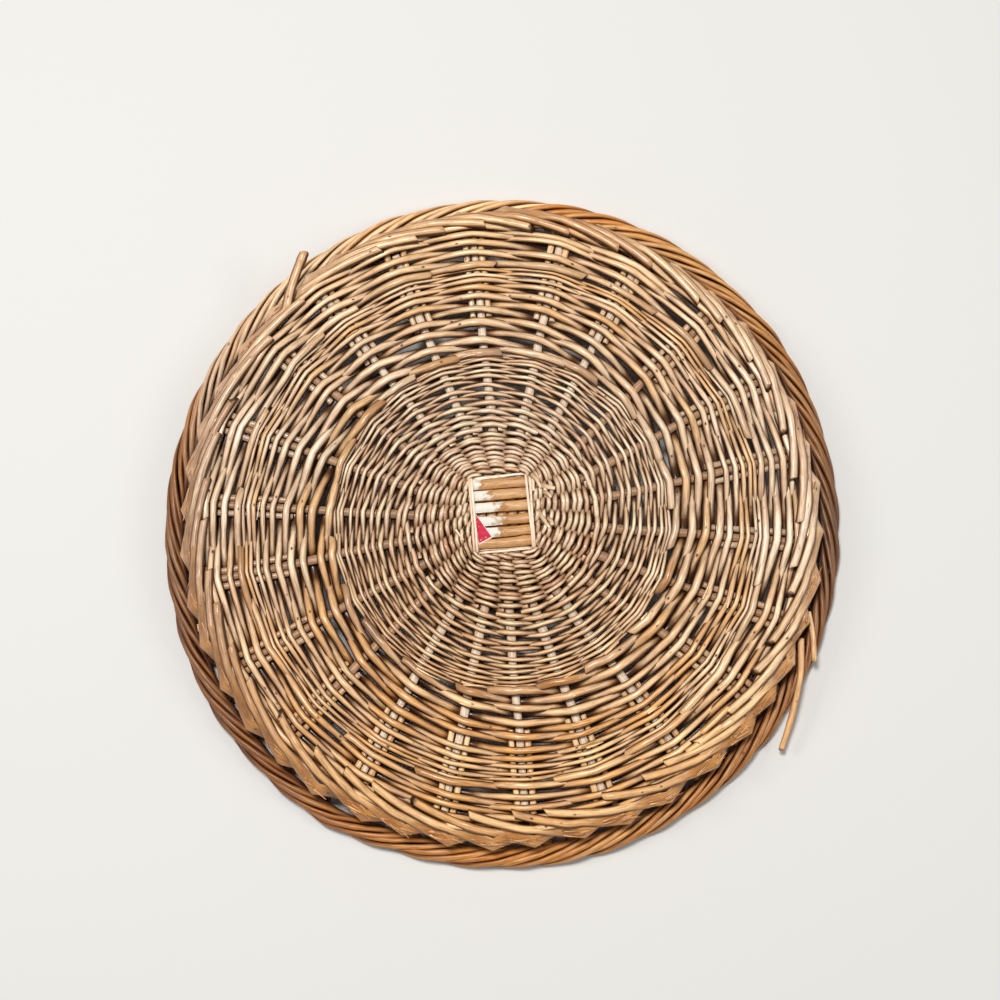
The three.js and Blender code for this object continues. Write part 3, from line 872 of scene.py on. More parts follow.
def make_fine_weave(sizes, colours):
    """Two bands of thin rods: round the cross, where they follow its sticks' two levels, and outside that."""
    material = willow("peeled_willow_thin_rod", colours)
    half = sizes.stick_thickness / MM / 2
    butt = sizes.fine_butt / MM
    tip = sizes.fine_tip / MM

    def inner_radius(row, angle):
        start = hole_radius(angle)
        return start + (FINE_INNER_END - start) * ((row + 0.5) / (FINE_INNER_ROWS + INNER_SPARE))

    def inner_middle(row, angle):
        share = np.clip((row + 0.5) / FINE_INNER_ROWS, 0, 1)
        level = np.clip(INNER_STEEP * np.cos(2 * np.radians(angle - CROSS_TURN)), -1, 1)
        return BASE_HEIGHT + CROSS_LEVEL * (1 - share) * level

    def inner_size(row, angle):
        pitch = (FINE_INNER_END - hole_radius(angle)) / FINE_INNER_ROWS
        return np.clip(INNER_FILL * pitch, INNER_LEAST, INNER_MOST * butt)

    rods = Rods(SEEDS["fine_inner"])
    rng = rods.rng
    for index in range(SPOKES):
        route, size, middle, turn, pale = weaver(
            index, 2 * FINE_INNER_ROWS, INNER_LEAD, INNER_TAIL,
            inner_radius, inner_middle, half, inner_size, CLOSE_OVERLAP, rng, FINE_STEPS,
        )
        route[:, 1] += CROSS_SHIFT * (1 - np.linspace(0, 1, len(route)))
        size = size * rng.uniform(*INNER_SPREAD)
        shade = hollow(middle, half + size, turn, edge=INNER_EDGE, rise=INNER_RISE)
        rods.add(route, size, size * FINE_PRESSED, rng.uniform(0, 1), shade, pale, sides=10)
    rods.piece("willow_fine_inner", material, "fine_weave", ["fine_weave"])

    rods = Rods(SEEDS["fine_outer"])
    rng = rods.rng
    for index in range(SPOKES):
        size_at = taper_at(FINE_OUTER_TAPER, butt, tip, rng.uniform(*FINE_SPREAD))
        route, size, middle, turn, pale = weaver(
            index, 2 * len(FINE_OUTER_ROWS) - 3, rng.uniform(*FINE_LEAD), rng.uniform(*FINE_TAIL),
            rows_at(FINE_OUTER_ROWS), level_base, half, size_at, OVERLAP, rng, FINE_STEPS,
        )
        shade = hollow(middle, half + size, turn)
        rods.add(route, size, size * FINE_PRESSED, rng.uniform(0, 1), shade, pale, sides=8)
    rods.piece("willow_fine_outer", material, "fine_weave", ["fine_weave"])


# Border

# Shape of a stake round its kink: degrees past the kink, distance out from it and height from it.
# It comes up the wall from the rim, folds back at the kink and climbs onto the ring of foot rods.
KINK_SHAPE = (
    (9.8, 2.0, -26.0),
    (9.0, -1.2, -20.5),
    (7.6, -4.0, -14.5),
    (5.2, -5.2, -9.6),
    (2.6, -3.2, -6.4),
    (0.0, 0.0, -4.5),
    (-2.6, -2.6, -5.0),
    (-5.2, -5.0, -4.2),
    (-7.8, -6.4, -1.6),
    (-10.4, -7.4, -0.2),
)
KINK_FOLD = 5
# How far the kinks and the butts of the foot rods stand off their even rings, round the tray
KINK_DRIFT = (
    (0, 0.4), (20, -0.8), (50, -0.8), (70, 1), (90, 3), (120, 1.6), (150, -0.4), (180, 0.6),
    (235, 3), (270, 1.6), (360, 0.4),
)
BUTT_DRIFT = (
    (0, 0.8), (45, 3.6), (90, 5.4), (135, 4), (180, 1), (225, 0), (270, -1.2), (315, -1.2), (360, 0.8),
)
# Painted shade on the foot rods, round the tray, where less light falls
FOOT_SHADE = ((0, 0), (45, 0.03), (90, 0.17), (135, 0.08), (180, 0.28), (225, 0.3), (270, 0.1), (360, 0))
# How far the foot rods draw in from the kinks, round the tray, as a share of the most
FOOT_DRAW = ((0, 0.75), (40, 0.55), (110, 0.55), (165, 0.8), (200, 1), (335, 1), (360, 0.75))
BUTT_LIFT = 1.5
SPRUNG_ANGLE = 147.0
SPRUNG_BUTT = (126.6, 195.9, 36.8)
# How badly the kinks are crushed, round the tray
KINK_TEAR = (
    (0, 0.5), (60, 0.3), (120, 0.3), (175, 0.3), (220, 0.5), (250, 1), (335, 1), (360, 0.5),
)
# By point of a stake's shape: where it goes flat and round again, how far its colour is that of bent wood,
# its painted shade, and how far its top leans outward
KINK_POINTS = (0, 2, 3.2, 6.4, 8.2, 13)
KINK_BENT = ((0, 0.7), (2, 0.8), (3, 1), (6.2, 1), (7.4, 0.5), (8.4, 0))
KINK_SHADE = ((0, 0.5), (2, 0.55), (3, 0.5), (4, 0.3), (4.9, 0.02), (5.1, 0.12), (6.4, 0.22), (8, 0.1))
KINK_LEAN = ((0, 0.45), (2, 0.5), (3.5, 0.5), (6.3, 0.45), (7.5, 0.2), (8.5, 0))
# Painted shade up the sides of a foot rod, and how much of it shows on the kink and on the run after it
FOOT_SIDE_SHADE = ((0.34, 1.0), (0.66, 0.62), (0.88, 0.14), (0.99, 0.0))
FOOT_SIDE_SHARE = ((6, 0.3), (8, 1))
# The stretch beside a spoke and down the wall: radius, height from the base, share of the turn to the rim
WALL_SHAPE = (
    (STAKE_START - 2, 0, 0), (148, 0, 0), (BASE_RADIUS, 0, 0), (174, -1.2, 0.1), (179, -6, 0.45),
    (182.5, -12.5, 0.85), (186, -19, 1.0),
)
WALL_GAP = 0.7
# Painted shade beside a spoke, how much less of it there is at two opposite edges, and painted shade down the
# wall
BYE_SHADE, BYE_SHADE_LESS, WALL_SHADE = 0.3, 0.22, (0.5, 0.6)
# How stakes differ: thickness, width at the kink, the kink's angle and radius, and height of the foot rod
STAKE_SPREAD, KINK_SPREAD = (0.95, 1.06), (0.9, 1.1)
KINK_TURN, KINK_STRAY, FOOT_STRAY = 0.6, 0.8, (-0.4, 0.1)
# How far past its even place a butt lies, and how far it strays round the tray and in radius
BUTT_PAST, BUTT_TURN, BUTT_STRAY = 1.0, 1.6, 1.2
# How far kinks lie inside their ring, how far they drop where the foot rods draw in less, and how many
# degrees of the stake drop with them
KINK_INSIDE, KINK_DROP, KINK_REACH = 0.6, 5, 4
KINK_THICKNESS = (1.9, 2.0)
# Points along the run of a foot rod after its kink, how its butt is cut, and spacing along stakes
FOOT_POINTS = 4
FOOT_SLANT, FOOT_QUILL = 0.8, (0.2, 0.9)
STAKE_SPACING, WALL_SPACING = 1.2, 1.6
# Torn fibres: how many, and how badly torn each kink is
TEAR_COUNT, TEAR_SPREAD = (7, 15), (0.7, 1.0)
# Where a fibre begins past the kink and how far it sweeps, in degrees, then how far aside it begins and ends
TEAR_BEGIN, TEAR_SWEEP = (-4.5, 0.5), (1.2, 3.2)
TEAR_ASIDE, TEAR_SPLAY, TEAR_DRAW = (-2.2, 1.6), (-1.5, 2.5), 0.45
# How far it stands off the kink, halfway and at its tip, then its width and thickness, and what its tip keeps
TEAR_STANDS, TEAR_LIFT, TEAR_TIP = 1.6, 0.5, (0.2, 1.6)
TEAR_WIDTH, TEAR_THICKNESS, TEAR_FADE = (0.4, 1.3), 0.4, 0.3
# Its colour, age and how far it shows crushed wood
TEAR_TONE, TEAR_AGE, TEAR_BENT = 0.1, (0, 0.5), (0.4, 1)


def torn_fibres(rods, number, kink_angle, kink_radius, level, past, rise):
    """Fibres torn from a kink. They lie along it and lift toward their tips."""
    rng = rods.rng
    for _ in range(number):
        begin = rng.uniform(*TEAR_BEGIN)
        sweep = rng.uniform(*TEAR_SWEEP)
        near = kink_radius - TEAR_DRAW * abs(begin) + rng.uniform(*TEAR_ASIDE)
        far = near + rng.uniform(*TEAR_SPLAY)
        where = begin + sweep * HALFWAY
        surface = level + np.interp(where, past[::-1], rise[::-1]) + TEAR_STANDS
        lift = np.array([0.0, TEAR_LIFT, rng.uniform(*TEAR_TIP)])
        route = polar(np.array([near, (near + far) / 2, far]), kink_angle + where, surface + lift)
        strand, _, _ = smooth(route, 1.0)
        fade = np.linspace(1, TEAR_FADE, len(strand))
        size = rng.uniform(*TEAR_WIDTH) * fade
        aged = rng.uniform(*TEAR_AGE)
        rods.add(strand, size, TEAR_THICKNESS * fade, TEAR_TONE, aged, rng.uniform(*TEAR_BENT), sides=6)


def foot_rod(rods, sizes, kink_angle, sprung):
    """The foot stretch of a stake, from the rim over its kink to the butt."""
    rng = rods.rng
    stake = sizes.stake / MM * rng.uniform(*STAKE_SPREAD)
    kink_width = sizes.kink_width / MM * rng.uniform(*KINK_SPREAD)
    kink_radius = KINK_RADIUS - KINK_INSIDE + round_tray(KINK_DRIFT, kink_angle)
    kink_radius += rng.uniform(-KINK_STRAY, KINK_STRAY)
    level = FOOT_HEIGHT + rng.uniform(*FOOT_STRAY)
    past, out, rise = np.array(KINK_SHAPE).T
    draw = round_tray(FOOT_DRAW, kink_angle)
    out = np.where(past < 0, draw * out, out)
    rise = np.where(np.abs(past) < KINK_REACH, rise - KINK_DROP * (1 - draw), rise)
    butt_angle = kink_angle - FOOT_SWEEP - BUTT_PAST + rng.uniform(-BUTT_TURN, BUTT_TURN)
    butt_radius = FOOT_RADIUS + round_tray(BUTT_DRIFT, butt_angle) + rng.uniform(-BUTT_STRAY, BUTT_STRAY)
    butt = SPRUNG_BUTT if sprung else (butt_angle, butt_radius, level + BUTT_LIFT)
    share = np.linspace(1 / FOOT_POINTS, 1, FOOT_POINTS)
    last = (kink_angle + past[-1], kink_radius + out[-1], level + rise[-1])
    run = np.array([np.interp(share, [0, 1], pair) for pair in zip(last, butt)])
    angle = np.concatenate([kink_angle + past, run[0]])
    radius = np.concatenate([kink_radius + out, run[1]])
    height = np.concatenate([level + rise, run[2]])
    points = polar(radius, angle, height)
    leg, _, leg_knot = smooth(points[:KINK_FOLD + 1], STAKE_SPACING)
    foot, _, foot_knot = smooth(points[KINK_FOLD:], STAKE_SPACING)
    route = np.concatenate([leg, foot[1:]])
    knot = np.concatenate([leg_knot, KINK_FOLD + foot_knot[1:]])
    width = np.interp(knot, KINK_POINTS, [stake, stake * 1.1, kink_width, kink_width, stake, stake])
    thick = np.interp(knot, KINK_POINTS, [stake, stake * 0.7, *KINK_THICKNESS, stake * 0.9, stake])
    tear = round_tray(KINK_TEAR, kink_angle) * rng.uniform(*TEAR_SPREAD)
    bend = read(KINK_BENT, knot) * tear
    # Painted shade along the stake, and round the tray where less light falls
    flat = read(KINK_SHADE, knot) + round_tray(FOOT_SHADE, kink_angle)
    outward = unit(route * np.array([1, 1, 0]))
    lean = read(KINK_LEAN, knot)[:, None]
    up = unit(UP * (1 - lean) + outward * lean)

    # Painted shade up the sides of the foot rod
    def shade(rings, high):
        return np.maximum(flat[:, None], read(FOOT_SIDE_SHADE, high) * read(FOOT_SIDE_SHARE, knot)[:, None])

    rods.add(
        route, width, thick, rng.uniform(0, 1), shade, bend, up, sides=12, slant=FOOT_SLANT,
        quill=rng.uniform(*FOOT_QUILL),
    )
    number = int(tear * rng.uniform(*TEAR_COUNT))
    torn_fibres(rods, number, kink_angle, kink_radius, level, past, rise)


def wall_rod(rods, sizes, spoke, side, dip_angle):
    """The stretch of a stake that lies beside its spoke and turns down the wall to the rim."""
    bye = sizes.bye_stake / MM
    offset = (sizes.spoke_width / MM + bye) / 2 + WALL_GAP
    radius, height, sweep = np.array(WALL_SHAPE).T
    beside = spoke + np.degrees(np.arcsin(side * offset / radius))
    angle = beside + sweep * (dip_angle - beside)
    route, _, knot = smooth(polar(radius, angle, BASE_HEIGHT + height), WALL_SPACING)
    # Painted shade beside the spoke and down the wall
    beside_shade = BYE_SHADE - BYE_SHADE_LESS * math.sin(math.radians(spoke)) ** 2
    flat = np.interp(knot, [0, 2, 3, 4], [beside_shade, beside_shade, *WALL_SHADE])
    size = np.interp(knot, [0, 2, 4], [bye, bye * 1.1, bye * 1.25])
    rods.add(route, size, size, rods.rng.uniform(0, 1), flanks(flat), sides=8)


def make_stakes(sizes, colours):
    """The stakes, one on each side of every spoke."""
    material = willow("bent_willow_stake", colours)
    for index in range(2 * SPOKES):
        rods = Rods(SEEDS["stakes"] + index)
        spoke = spoke_angle(index // 2)
        side = 2 * (index % 2) - 1
        dip_angle = spoke + side * STEP / 4 - WALL_SWEEP
        kink_angle = dip_angle - RISE_SWEEP + rods.rng.uniform(-KINK_TURN, KINK_TURN)
        foot_rod(rods, sizes, kink_angle, abs(kink_angle - SPRUNG_ANGLE) < STEP / 4)
        wall_rod(rods, sizes, spoke, side, dip_angle)
        name = f"stake_{index + 1:02d}"
        rods.piece("willow_" + name, material, "stake", [name])


# Rolled rim: each ply is two rods side by side and goes once round the rope in its reach
RIM_PLY_REACH = 38.0
RIM_LANES = ((-0.5, 0.0), (0.5, 1.1))
RIM_PLY_START = -150
RIM_POINTS = 60
# The rods of a ply lie this share of their width apart, and are pressed a little flat
RIM_LANE_SHARE, RIM_PRESSED = 0.94, 0.96
# How plies differ: where they start, waves and drift off the rope's core, thickness and colour
RIM_STRAY, RIM_WAVE, RIM_DRIFT = 0.7, 0.5, 0.35
RIM_SPREAD, RIM_TONE = (0.8, 1.08), (0, 0.5)
# Thickness of a strand at its start and at its end
RIM_TAPER = (1.06, 0.84)
# A strand is painted with shade past these shares of the way to the inside and to the bottom, where that
# shade has a limit
RIM_INSIDE, RIM_BELOW, RIM_BELOW_MOST = 0.55, 0.3, 0.6
# A ply is tucked in at both ends
RIM_TUCK = ((-0.05, 0.35), (0.18, 0.82), (0.38, 1), (0.62, 1), (0.84, 0.8), (1.05, 0.4))
# The rope is flattened below and drawn out toward the tray
RIM_FLAT, RIM_DRAWN = 0.86, 1.35
# Painted shade up the sides of a strand
RIM_SIDE_SHADE = ((-0.2, 1.0), (0.3, 0.55), (0.75, 0.12), (0.97, 0.0))
# Painted light: how much paler the strands are painted round the tray, where more light falls on the rim
RIM_PAINTED_LIGHT = ((40, 0), (75, 0.85), (130, 0.75), (165, 0))
# How far the rim bulges out, round the tray
RIM_BULGE = (
    (12, 0), (32, 1.6), (58, 1.8), (88, 0), (195, 0), (210, 1.6), (222, 1.4), (232, 2.6), (240, 3.2),
    (247, 1.6), (253, 0),
)
# Painted shade on the rim, round the tray, where less light falls
RIM_SHADE = (
    (0, 0.65), (45, 0.08), (70, 0), (115, 0), (140, 0.18), (180, 0.54), (225, 0.54), (260, 0.14), (285, 0.12),
    (315, 0.28), (360, 0.65),
)


def make_rim(sizes, colours):
    """The rolled rim, a rope of twisted plies."""
    rods = Rods(SEEDS["rim"])
    rng = rods.rng
    plies = 2 * SPOKES
    strand = sizes.rope_strand / MM
    core = RIM_RADIUS - ROPE_RADIUS - strand / 2
    lane_turn = math.degrees(RIM_LANE_SHARE * strand / core)
    for index in range(plies):
        start = 360 * index / plies + rng.uniform(-RIM_STRAY, RIM_STRAY)
        for lane, sink in RIM_LANES:
            share = np.linspace(RIM_TUCK[0][0], RIM_TUCK[-1][0], RIM_POINTS)
            angle = start + share * RIM_PLY_REACH
            around = np.radians(RIM_PLY_START + 360 * share + lane * lane_turn)
            out = (core - sink) * read(RIM_TUCK, share) + wander(rng, share, RIM_WAVE, RIM_DRIFT)
            sine = np.sin(around)
            rise = out * sine * np.where(sine < 0, RIM_FLAT, 1.0)
            middle = ROPE_RADIUS + round_tray(RIM_BULGE, angle)
            reach = out * np.cos(around)
            reach = np.where(reach < 0, RIM_DRAWN * reach, reach)
            route = polar(middle + reach, angle, ROPE_HEIGHT + rise)
            up = unit(route - polar(middle, angle, ROPE_HEIGHT))
            size = strand * np.interp(share, [0, 1], RIM_TAPER) * rng.uniform(*RIM_SPREAD)
            # Strands painted paler round the tray where more light falls
            tone = min(rng.uniform(*RIM_TONE) + round_tray(RIM_PAINTED_LIGHT, start), 1)
            # Painted shade on the inside and bottom of the rope, and round the tray
            inner = np.clip(-np.cos(around) - RIM_INSIDE, 0, 1)
            low = np.clip(-sine - RIM_BELOW, 0, RIM_BELOW_MOST)
            flat = np.maximum(inner, low) + round_tray(RIM_SHADE, angle)

            def shade(rings, high, flat=flat):
                return np.maximum(flat[:, None], read(RIM_SIDE_SHADE, high))

            rods.add(route, size, size * RIM_PRESSED, tone, shade, 0.0, up, sides=8)
    rods.piece("willow_rim_rope", willow("twisted_willow_rim", colours), "rim", ["rim_rope"])


# Loose rods: angle, radius and height of each point, then thickness at both ends
LOOSE_RODS = (
    (((338.5, 187.0, 17.5), (333.0, 194.5, 16.4), (327.0, 201.5, 13.0), (320.9, 209.0, 9.5)), 3.8, 3.4),
    (((343.5, 186.5, 17.5), (340.0, 192.5, 17.0), (336.2, 198.5, 15.5)), 3.4, 3.4),
    (((308.2, 170.4, 34.2), (312.0, 171.4, 35.2), (316.1, 172.7, 35.6)), 3.4, 3.6),
    (((312.9, 167.8, 35.0), (316.0, 168.2, 35.6), (320.0, 168.9, 35.6)), 3.2, 3.4),
)
# Broken ends of thin rods beside the cross: points, thickness at both ends, and how aged
BROKEN_ENDS = (
    (((16.5, 27.0, 33.2), (19.4, 24.0, 34.6), (22.6, 18.0, 35.4)), 3.4, 1.4, 0.5),
    (((20.5, 20.5, 33.6), (25.0, 19.0, 34.8), (30.5, 17.8, 35.2)), 3.8, 2.4, 0.6),
    (((23.5, 16.0, 34.4), (26.4, 14.8, 35.2), (28.6, 12.4, 34.6)), 3.0, 2.0, 0.6),
    (((21.0, 4.6, 34.2), (23.6, 0.4, 35.4), (27.8, -5.6, 35.0)), 3.6, 1.6, 0.45),
    (((26.5, 0.4, 34.6), (28.6, -1.6, 35.4), (29.2, -4.0, 34.8)), 3.0, 2.4, 0.55),
    (((-26.8, -6.4, 34.6), (-24.6, -9.4, 35.4), (-22.0, -12.6, 34.8)), 1.7, 0.8, 0.0),
)
LOOSE_TONE, LOOSE_BENT = (0, 0.3), 0.55
BROKEN_FLAT, BROKEN_SLANT, BROKEN_TONE = 0.7, 1.2, 0.1
# Splinters, and the rows of the coarse weave that they lie on
SPLINTERS = 40
SPLINTER_ROWS = 6
# A splinter's angle before a spoke, how far it strays and drifts in radius, its length, width and thickness
SPLINTER_BEFORE, SPLINTER_STRAY, SPLINTER_LENGTH = (-2, 0), (-1.5, 1.5), (5, 15)
SPLINTER_WIDTH, SPLINTER_THICKNESS = (0.5, 1.2), 0.5
# How far off the crests it lies at its start, halfway and at its tip, and how it thins
SPLINTER_SUNK, SPLINTER_HALF, SPLINTER_TIP = -0.9, -0.3, (-0.6, 0.6)
SPLINTER_TAPER = ((0, 1), (0.3, 1), (1, 0.35))


def make_loose(sizes, colours):
    """Rods that have sprung loose, and splinters lying on the weave."""
    rods = Rods(SEEDS["loose"])
    rng = rods.rng
    for places, first, last in LOOSE_RODS:
        angle, radius, height = np.array(places).T
        route, share, _ = smooth(polar(radius, angle, height), 1.2)
        size = np.interp(share, [0, 1], [first, last])
        rods.add(route, size, size, rng.uniform(*LOOSE_TONE), flanks(0.0), LOOSE_BENT, slant=FOOT_SLANT)
    rods.piece("willow_loose_rods", willow("bent_willow_stake", colours), "stake")

    rods = Rods(SEEDS["splinters"])
    rng = rods.rng
    crest = BASE_HEIGHT + (sizes.stick_thickness / 2 + sizes.coarse_butt) / MM
    for _ in range(SPLINTERS):
        row = rng.integers(0, SPLINTER_ROWS)
        angle = spoke_angle(rng.integers(0, SPOKES)) + rng.uniform(*SPLINTER_BEFORE)
        radius = COARSE_INNER_ROWS[row] + rng.uniform(*SPLINTER_STRAY)
        sweep = math.degrees(rng.uniform(*SPLINTER_LENGTH) / radius)
        drift = rng.uniform(*SPLINTER_STRAY)
        lift = crest + np.array([SPLINTER_SUNK, SPLINTER_HALF, rng.uniform(*SPLINTER_TIP)])
        route, share, _ = smooth(polar(radius + drift * HALFWAY, angle + sweep * HALFWAY, lift), 1.0)
        fade = read(SPLINTER_TAPER, share)
        width = rng.uniform(*SPLINTER_WIDTH) * fade
        rods.add(route, width, SPLINTER_THICKNESS * fade, rng.uniform(0, 1), sides=6)
    for points, first, last, aged in BROKEN_ENDS:
        route, share, _ = smooth(points, 0.8)
        size = np.interp(share, [0, 1], [first, last])
        shade = flanks(aged * (1 - share))
        rods.add(route, size, size * BROKEN_FLAT, BROKEN_TONE, shade, sides=8, slant=BROKEN_SLANT)
    rods.piece("willow_splinters", willow("torn_willow_fibre", colours), "coarse_weave")


# Torn label: reach of the paper left on each across stick, as row, start and end along the stick
RESIDUE = ((5, -15.6, -9.6), (4, -15.6, -4.0), (3, -15.6, 3.0), (2, -15.0, 2.6), (1, -10.0, 0.4))
CORNER = ((-15.9, 1.2), (-7.2, -13.6), (-14.6, -17.0))
PAPER_THICKNESS = 0.15
# How far the paper stands off the sticks, with the coloured corner over its torn edge
PAPER_LIFT, CORNER_LIFT, EDGE_LIFT = 0.28, 0.2, 0.1
RESIDUE_HALF = 2.8
RESIDUE_GRID = (24, 16)
CORNER_GRID = (26, 14)
# Torn end of the residue: waves and size of its ragged line, how it rounds off and how its sides draw in
RESIDUE_WAVE, RESIDUE_RAGGED, RESIDUE_ROUND, RESIDUE_DRAW = 4.0, 1.2, 0.1, 0.12
# Creases of each paper, how bare it is, and how worn the residue is toward its torn end
RESIDUE_CREASE, RESIDUE_BARE, RESIDUE_WORN = 3.0, 0.36, 0.7
CORNER_CREASE, CORNER_BARE = 1.4, 0.22
# How much wider the torn edge is than the corner, and waves and size of its ragged line
EDGE_WIDER, EDGE_WAVE, EDGE_RAGGED = 1.1, 7.0, 0.05
# Least share of a stick's bulge that the paper sinks to between the sticks
PAPER_SAG = 0.6


def drape(sizes, y):
    """Height of paper laid over the across sticks, which sags a little between them."""
    middles = (np.arange(ACROSS_STICKS) - (ACROSS_STICKS - 1) / 2) * ACROSS_PITCH + np.array(ACROSS_DRIFT)
    aside = np.abs(y[..., None] - middles).min(-1)
    bulge = np.sqrt(np.clip(1 - (aside / (sizes.stick_width / MM / 2)) ** 2, 0, 1))
    top = sizes.stick_thickness / MM / 2 * np.maximum(bulge, PAPER_SAG)
    return BASE_HEIGHT + CROSS_LEVEL + top + PAPER_LIFT


def sheets(name, grids, material, torn=0.0):
    """Thin closed sheets of paper, each from a grid of points for its top, worn toward its torn end."""
    points = []
    faces = []
    edges = []
    for grid in grids:
        start = sum(len(part) for part in points)
        rows, columns = grid.shape[:2]
        top = start + np.arange(rows * columns).reshape(rows, columns)
        low = top + rows * columns
        points += [grid.reshape(-1, 3), grid.reshape(-1, 3) - UP * PAPER_THICKNESS]
        edges += 2 * [np.repeat(torn * np.interp(np.linspace(0, 1, rows), [0.35, 1], [0, 1]), columns)]
        for i in range(rows - 1):
            for j in range(columns - 1):
                faces.append([top[i, j], top[i + 1, j], top[i + 1, j + 1], top[i, j + 1]])
                faces.append([low[i, j], low[i, j + 1], low[i + 1, j + 1], low[i + 1, j]])
        for above, below in (
            (top[:, 0], low[:, 0]), (top[-1], low[-1]), (top[::-1, -1], low[::-1, -1]),
            (top[0, ::-1], low[0, ::-1]),
        ):
            for a in range(len(above) - 1):
                faces.append([above[a + 1], above[a], below[a], below[a + 1]])
    mesh = bpy.data.meshes.new(name)
    mesh.from_pydata((np.concatenate(points) * MM).tolist(), [], [[int(i) for i in face] for face in faces])
    layer = mesh.attributes.new("paper_edge", "FLOAT", "POINT")
    layer.data.foreach_set("value", np.concatenate(edges).astype(np.float32))
    mesh.materials.append(material)
    mesh.validate()
    mesh.update()
    return place(name, mesh)


def make_label(sizes, colours):
    """What is left of a paper label: white residue on the sticks and one coloured corner."""
    rng = np.random.default_rng(SEEDS["label"])
    grids = []
    for row, start, end in RESIDUE:
        along = np.linspace(0, 1, RESIDUE_GRID[0])[:, None]
        across = np.linspace(-RESIDUE_HALF, RESIDUE_HALF, RESIDUE_GRID[1])[None]
        ragged = end + wander(rng, across[0], RESIDUE_WAVE, RESIDUE_RAGGED) - RESIDUE_ROUND * across[0] ** 2
        x = start + (ragged[None] - start) * along
        middle = (row - (ACROSS_STICKS - 1) / 2) * ACROSS_PITCH + ACROSS_DRIFT[row]
        y = middle + across * (1 - RESIDUE_DRAW * along * rng.uniform(0, 1, across.shape))
        grids.append(cross_point(x, y, drape(sizes, y)))
    backing = paper("torn_label_backing", colours.paper, colours.caramel, RESIDUE_CREASE, RESIDUE_BARE)
    sheets("paper_residue", grids, backing, RESIDUE_WORN)
    first, second, third = np.array(CORNER)
    u = np.linspace(0, 1, CORNER_GRID[0])[:, None, None]
    v = np.linspace(0, 1, CORNER_GRID[1])[None, :, None]
    flat = first + u * (second - first) + u * v * (third - second)
    grid = cross_point(flat[..., 0], flat[..., 1], drape(sizes, flat[..., 1]) + CORNER_LIFT)
    printed = paper("torn_printed_paper", colours.red, colours.paper, CORNER_CREASE, CORNER_BARE)
    sheets("paper_corner", [grid[1:]], printed)
    middle = np.array(CORNER).mean(0)
    ragged = EDGE_WIDER + wander(rng, np.arange(float(CORNER_GRID[0])), EDGE_WAVE, EDGE_RAGGED)
    flat = middle + (flat - middle) * ragged[:, None, None]
    grid = cross_point(flat[..., 0], flat[..., 1], drape(sizes, flat[..., 1]) + EDGE_LIFT)
    edge = paper("torn_paper_edge", colours.paper, colours.paper, CORNER_CREASE, CORNER_BARE)
    sheets("paper_torn_edge", [grid[1:]], edge)


class WILLOW_OT_sticks(bpy.types.Operator):
    """Lays the base sticks across each other and fans them out into spokes"""

    bl_idname = "willow.sticks"
    bl_label = "Base sticks"

    def execute(self, context):
        make_sticks(context.scene.willow_sizes, context.scene.willow_colours)
        return {"FINISHED"}


class WILLOW_OT_binding(bpy.types.Operator):
    """Ties the cross of sticks with skein"""

    bl_idname = "willow.binding"
    bl_label = "Cross binding"

    def execute(self, context):
        make_binding(context.scene.willow_sizes, context.scene.willow_colours)
        return {"FINISHED"}


class WILLOW_OT_fine_weave(bpy.types.Operator):
    """Weaves the thin rods of the middle"""

    bl_idname = "willow.fine_weave"
    bl_label = "Fine weave"

    def execute(self, context):
        make_fine_weave(context.scene.willow_sizes, context.scene.willow_colours)
        return {"FINISHED"}


class WILLOW_OT_coarse_weave(bpy.types.Operator):
    """Weaves the thick rods out to the edge of the base"""

    bl_idname = "willow.coarse_weave"
    bl_label = "Coarse weave"

    def execute(self, context):
        make_coarse_weave(context.scene.willow_sizes, context.scene.willow_colours)
        return {"FINISHED"}


class WILLOW_OT_stakes(bpy.types.Operator):
    """Bends the stakes from the base to the rim and back over the edge as the foot"""

    bl_idname = "willow.stakes"
    bl_label = "Stakes"

    def execute(self, context):
        make_stakes(context.scene.willow_sizes, context.scene.willow_colours)
        return {"FINISHED"}


class WILLOW_OT_rim(bpy.types.Operator):
    """Twists the rolled rim"""

    bl_idname = "willow.rim"
    bl_label = "Rolled rim"

    def execute(self, context):
        make_rim(context.scene.willow_sizes, context.scene.willow_colours)
        return {"FINISHED"}


class WILLOW_OT_loose(bpy.types.Operator):
    """Adds the loose rods and the splinters"""

    bl_idname = "willow.loose"
    bl_label = "Loose rods"

    def execute(self, context):
        make_loose(context.scene.willow_sizes, context.scene.willow_colours)
        return {"FINISHED"}


class WILLOW_OT_label(bpy.types.Operator):
    """Lays what is left of a paper label on the cross"""

    bl_idname = "willow.label"
    bl_label = "Torn label"

    def execute(self, context):
        make_label(context.scene.willow_sizes, context.scene.willow_colours)
        return {"FINISHED"}


class WILLOW_OT_stage(bpy.types.Operator):
    """Sets up the floor, the lamps and the camera"""

    bl_idname = "willow.stage"
    bl_label = "Stage"

    def execute(self, context):
        make_stage(context.scene.willow_colours)
        return {"FINISHED"}


# Stage, in metres
FLOOR_SIZE = 6.0
CAMERA_TILT = 9.0
CAMERA_DISTANCE = 1.2
CAMERA_AIM = (-0.0011, 0.012, 0.028)
CAMERA_LENS = 74.15
CAMERA_SENSOR = 36
CAMERA_FAR = 20
# Disk lamps, aimed at the middle of the tray: place and size in metres, power in watts
LAMPS = (
    ("key", (-0.3, 0.4, 2.3), 0.5, 38.0),
    ("left", (-1.6, 0.2, 1.6), 0.8, 9.0),
    ("right", (1.6, -0.2, 1.6), 0.8, 9.0),
)
SKY_STRENGTH = 0.18


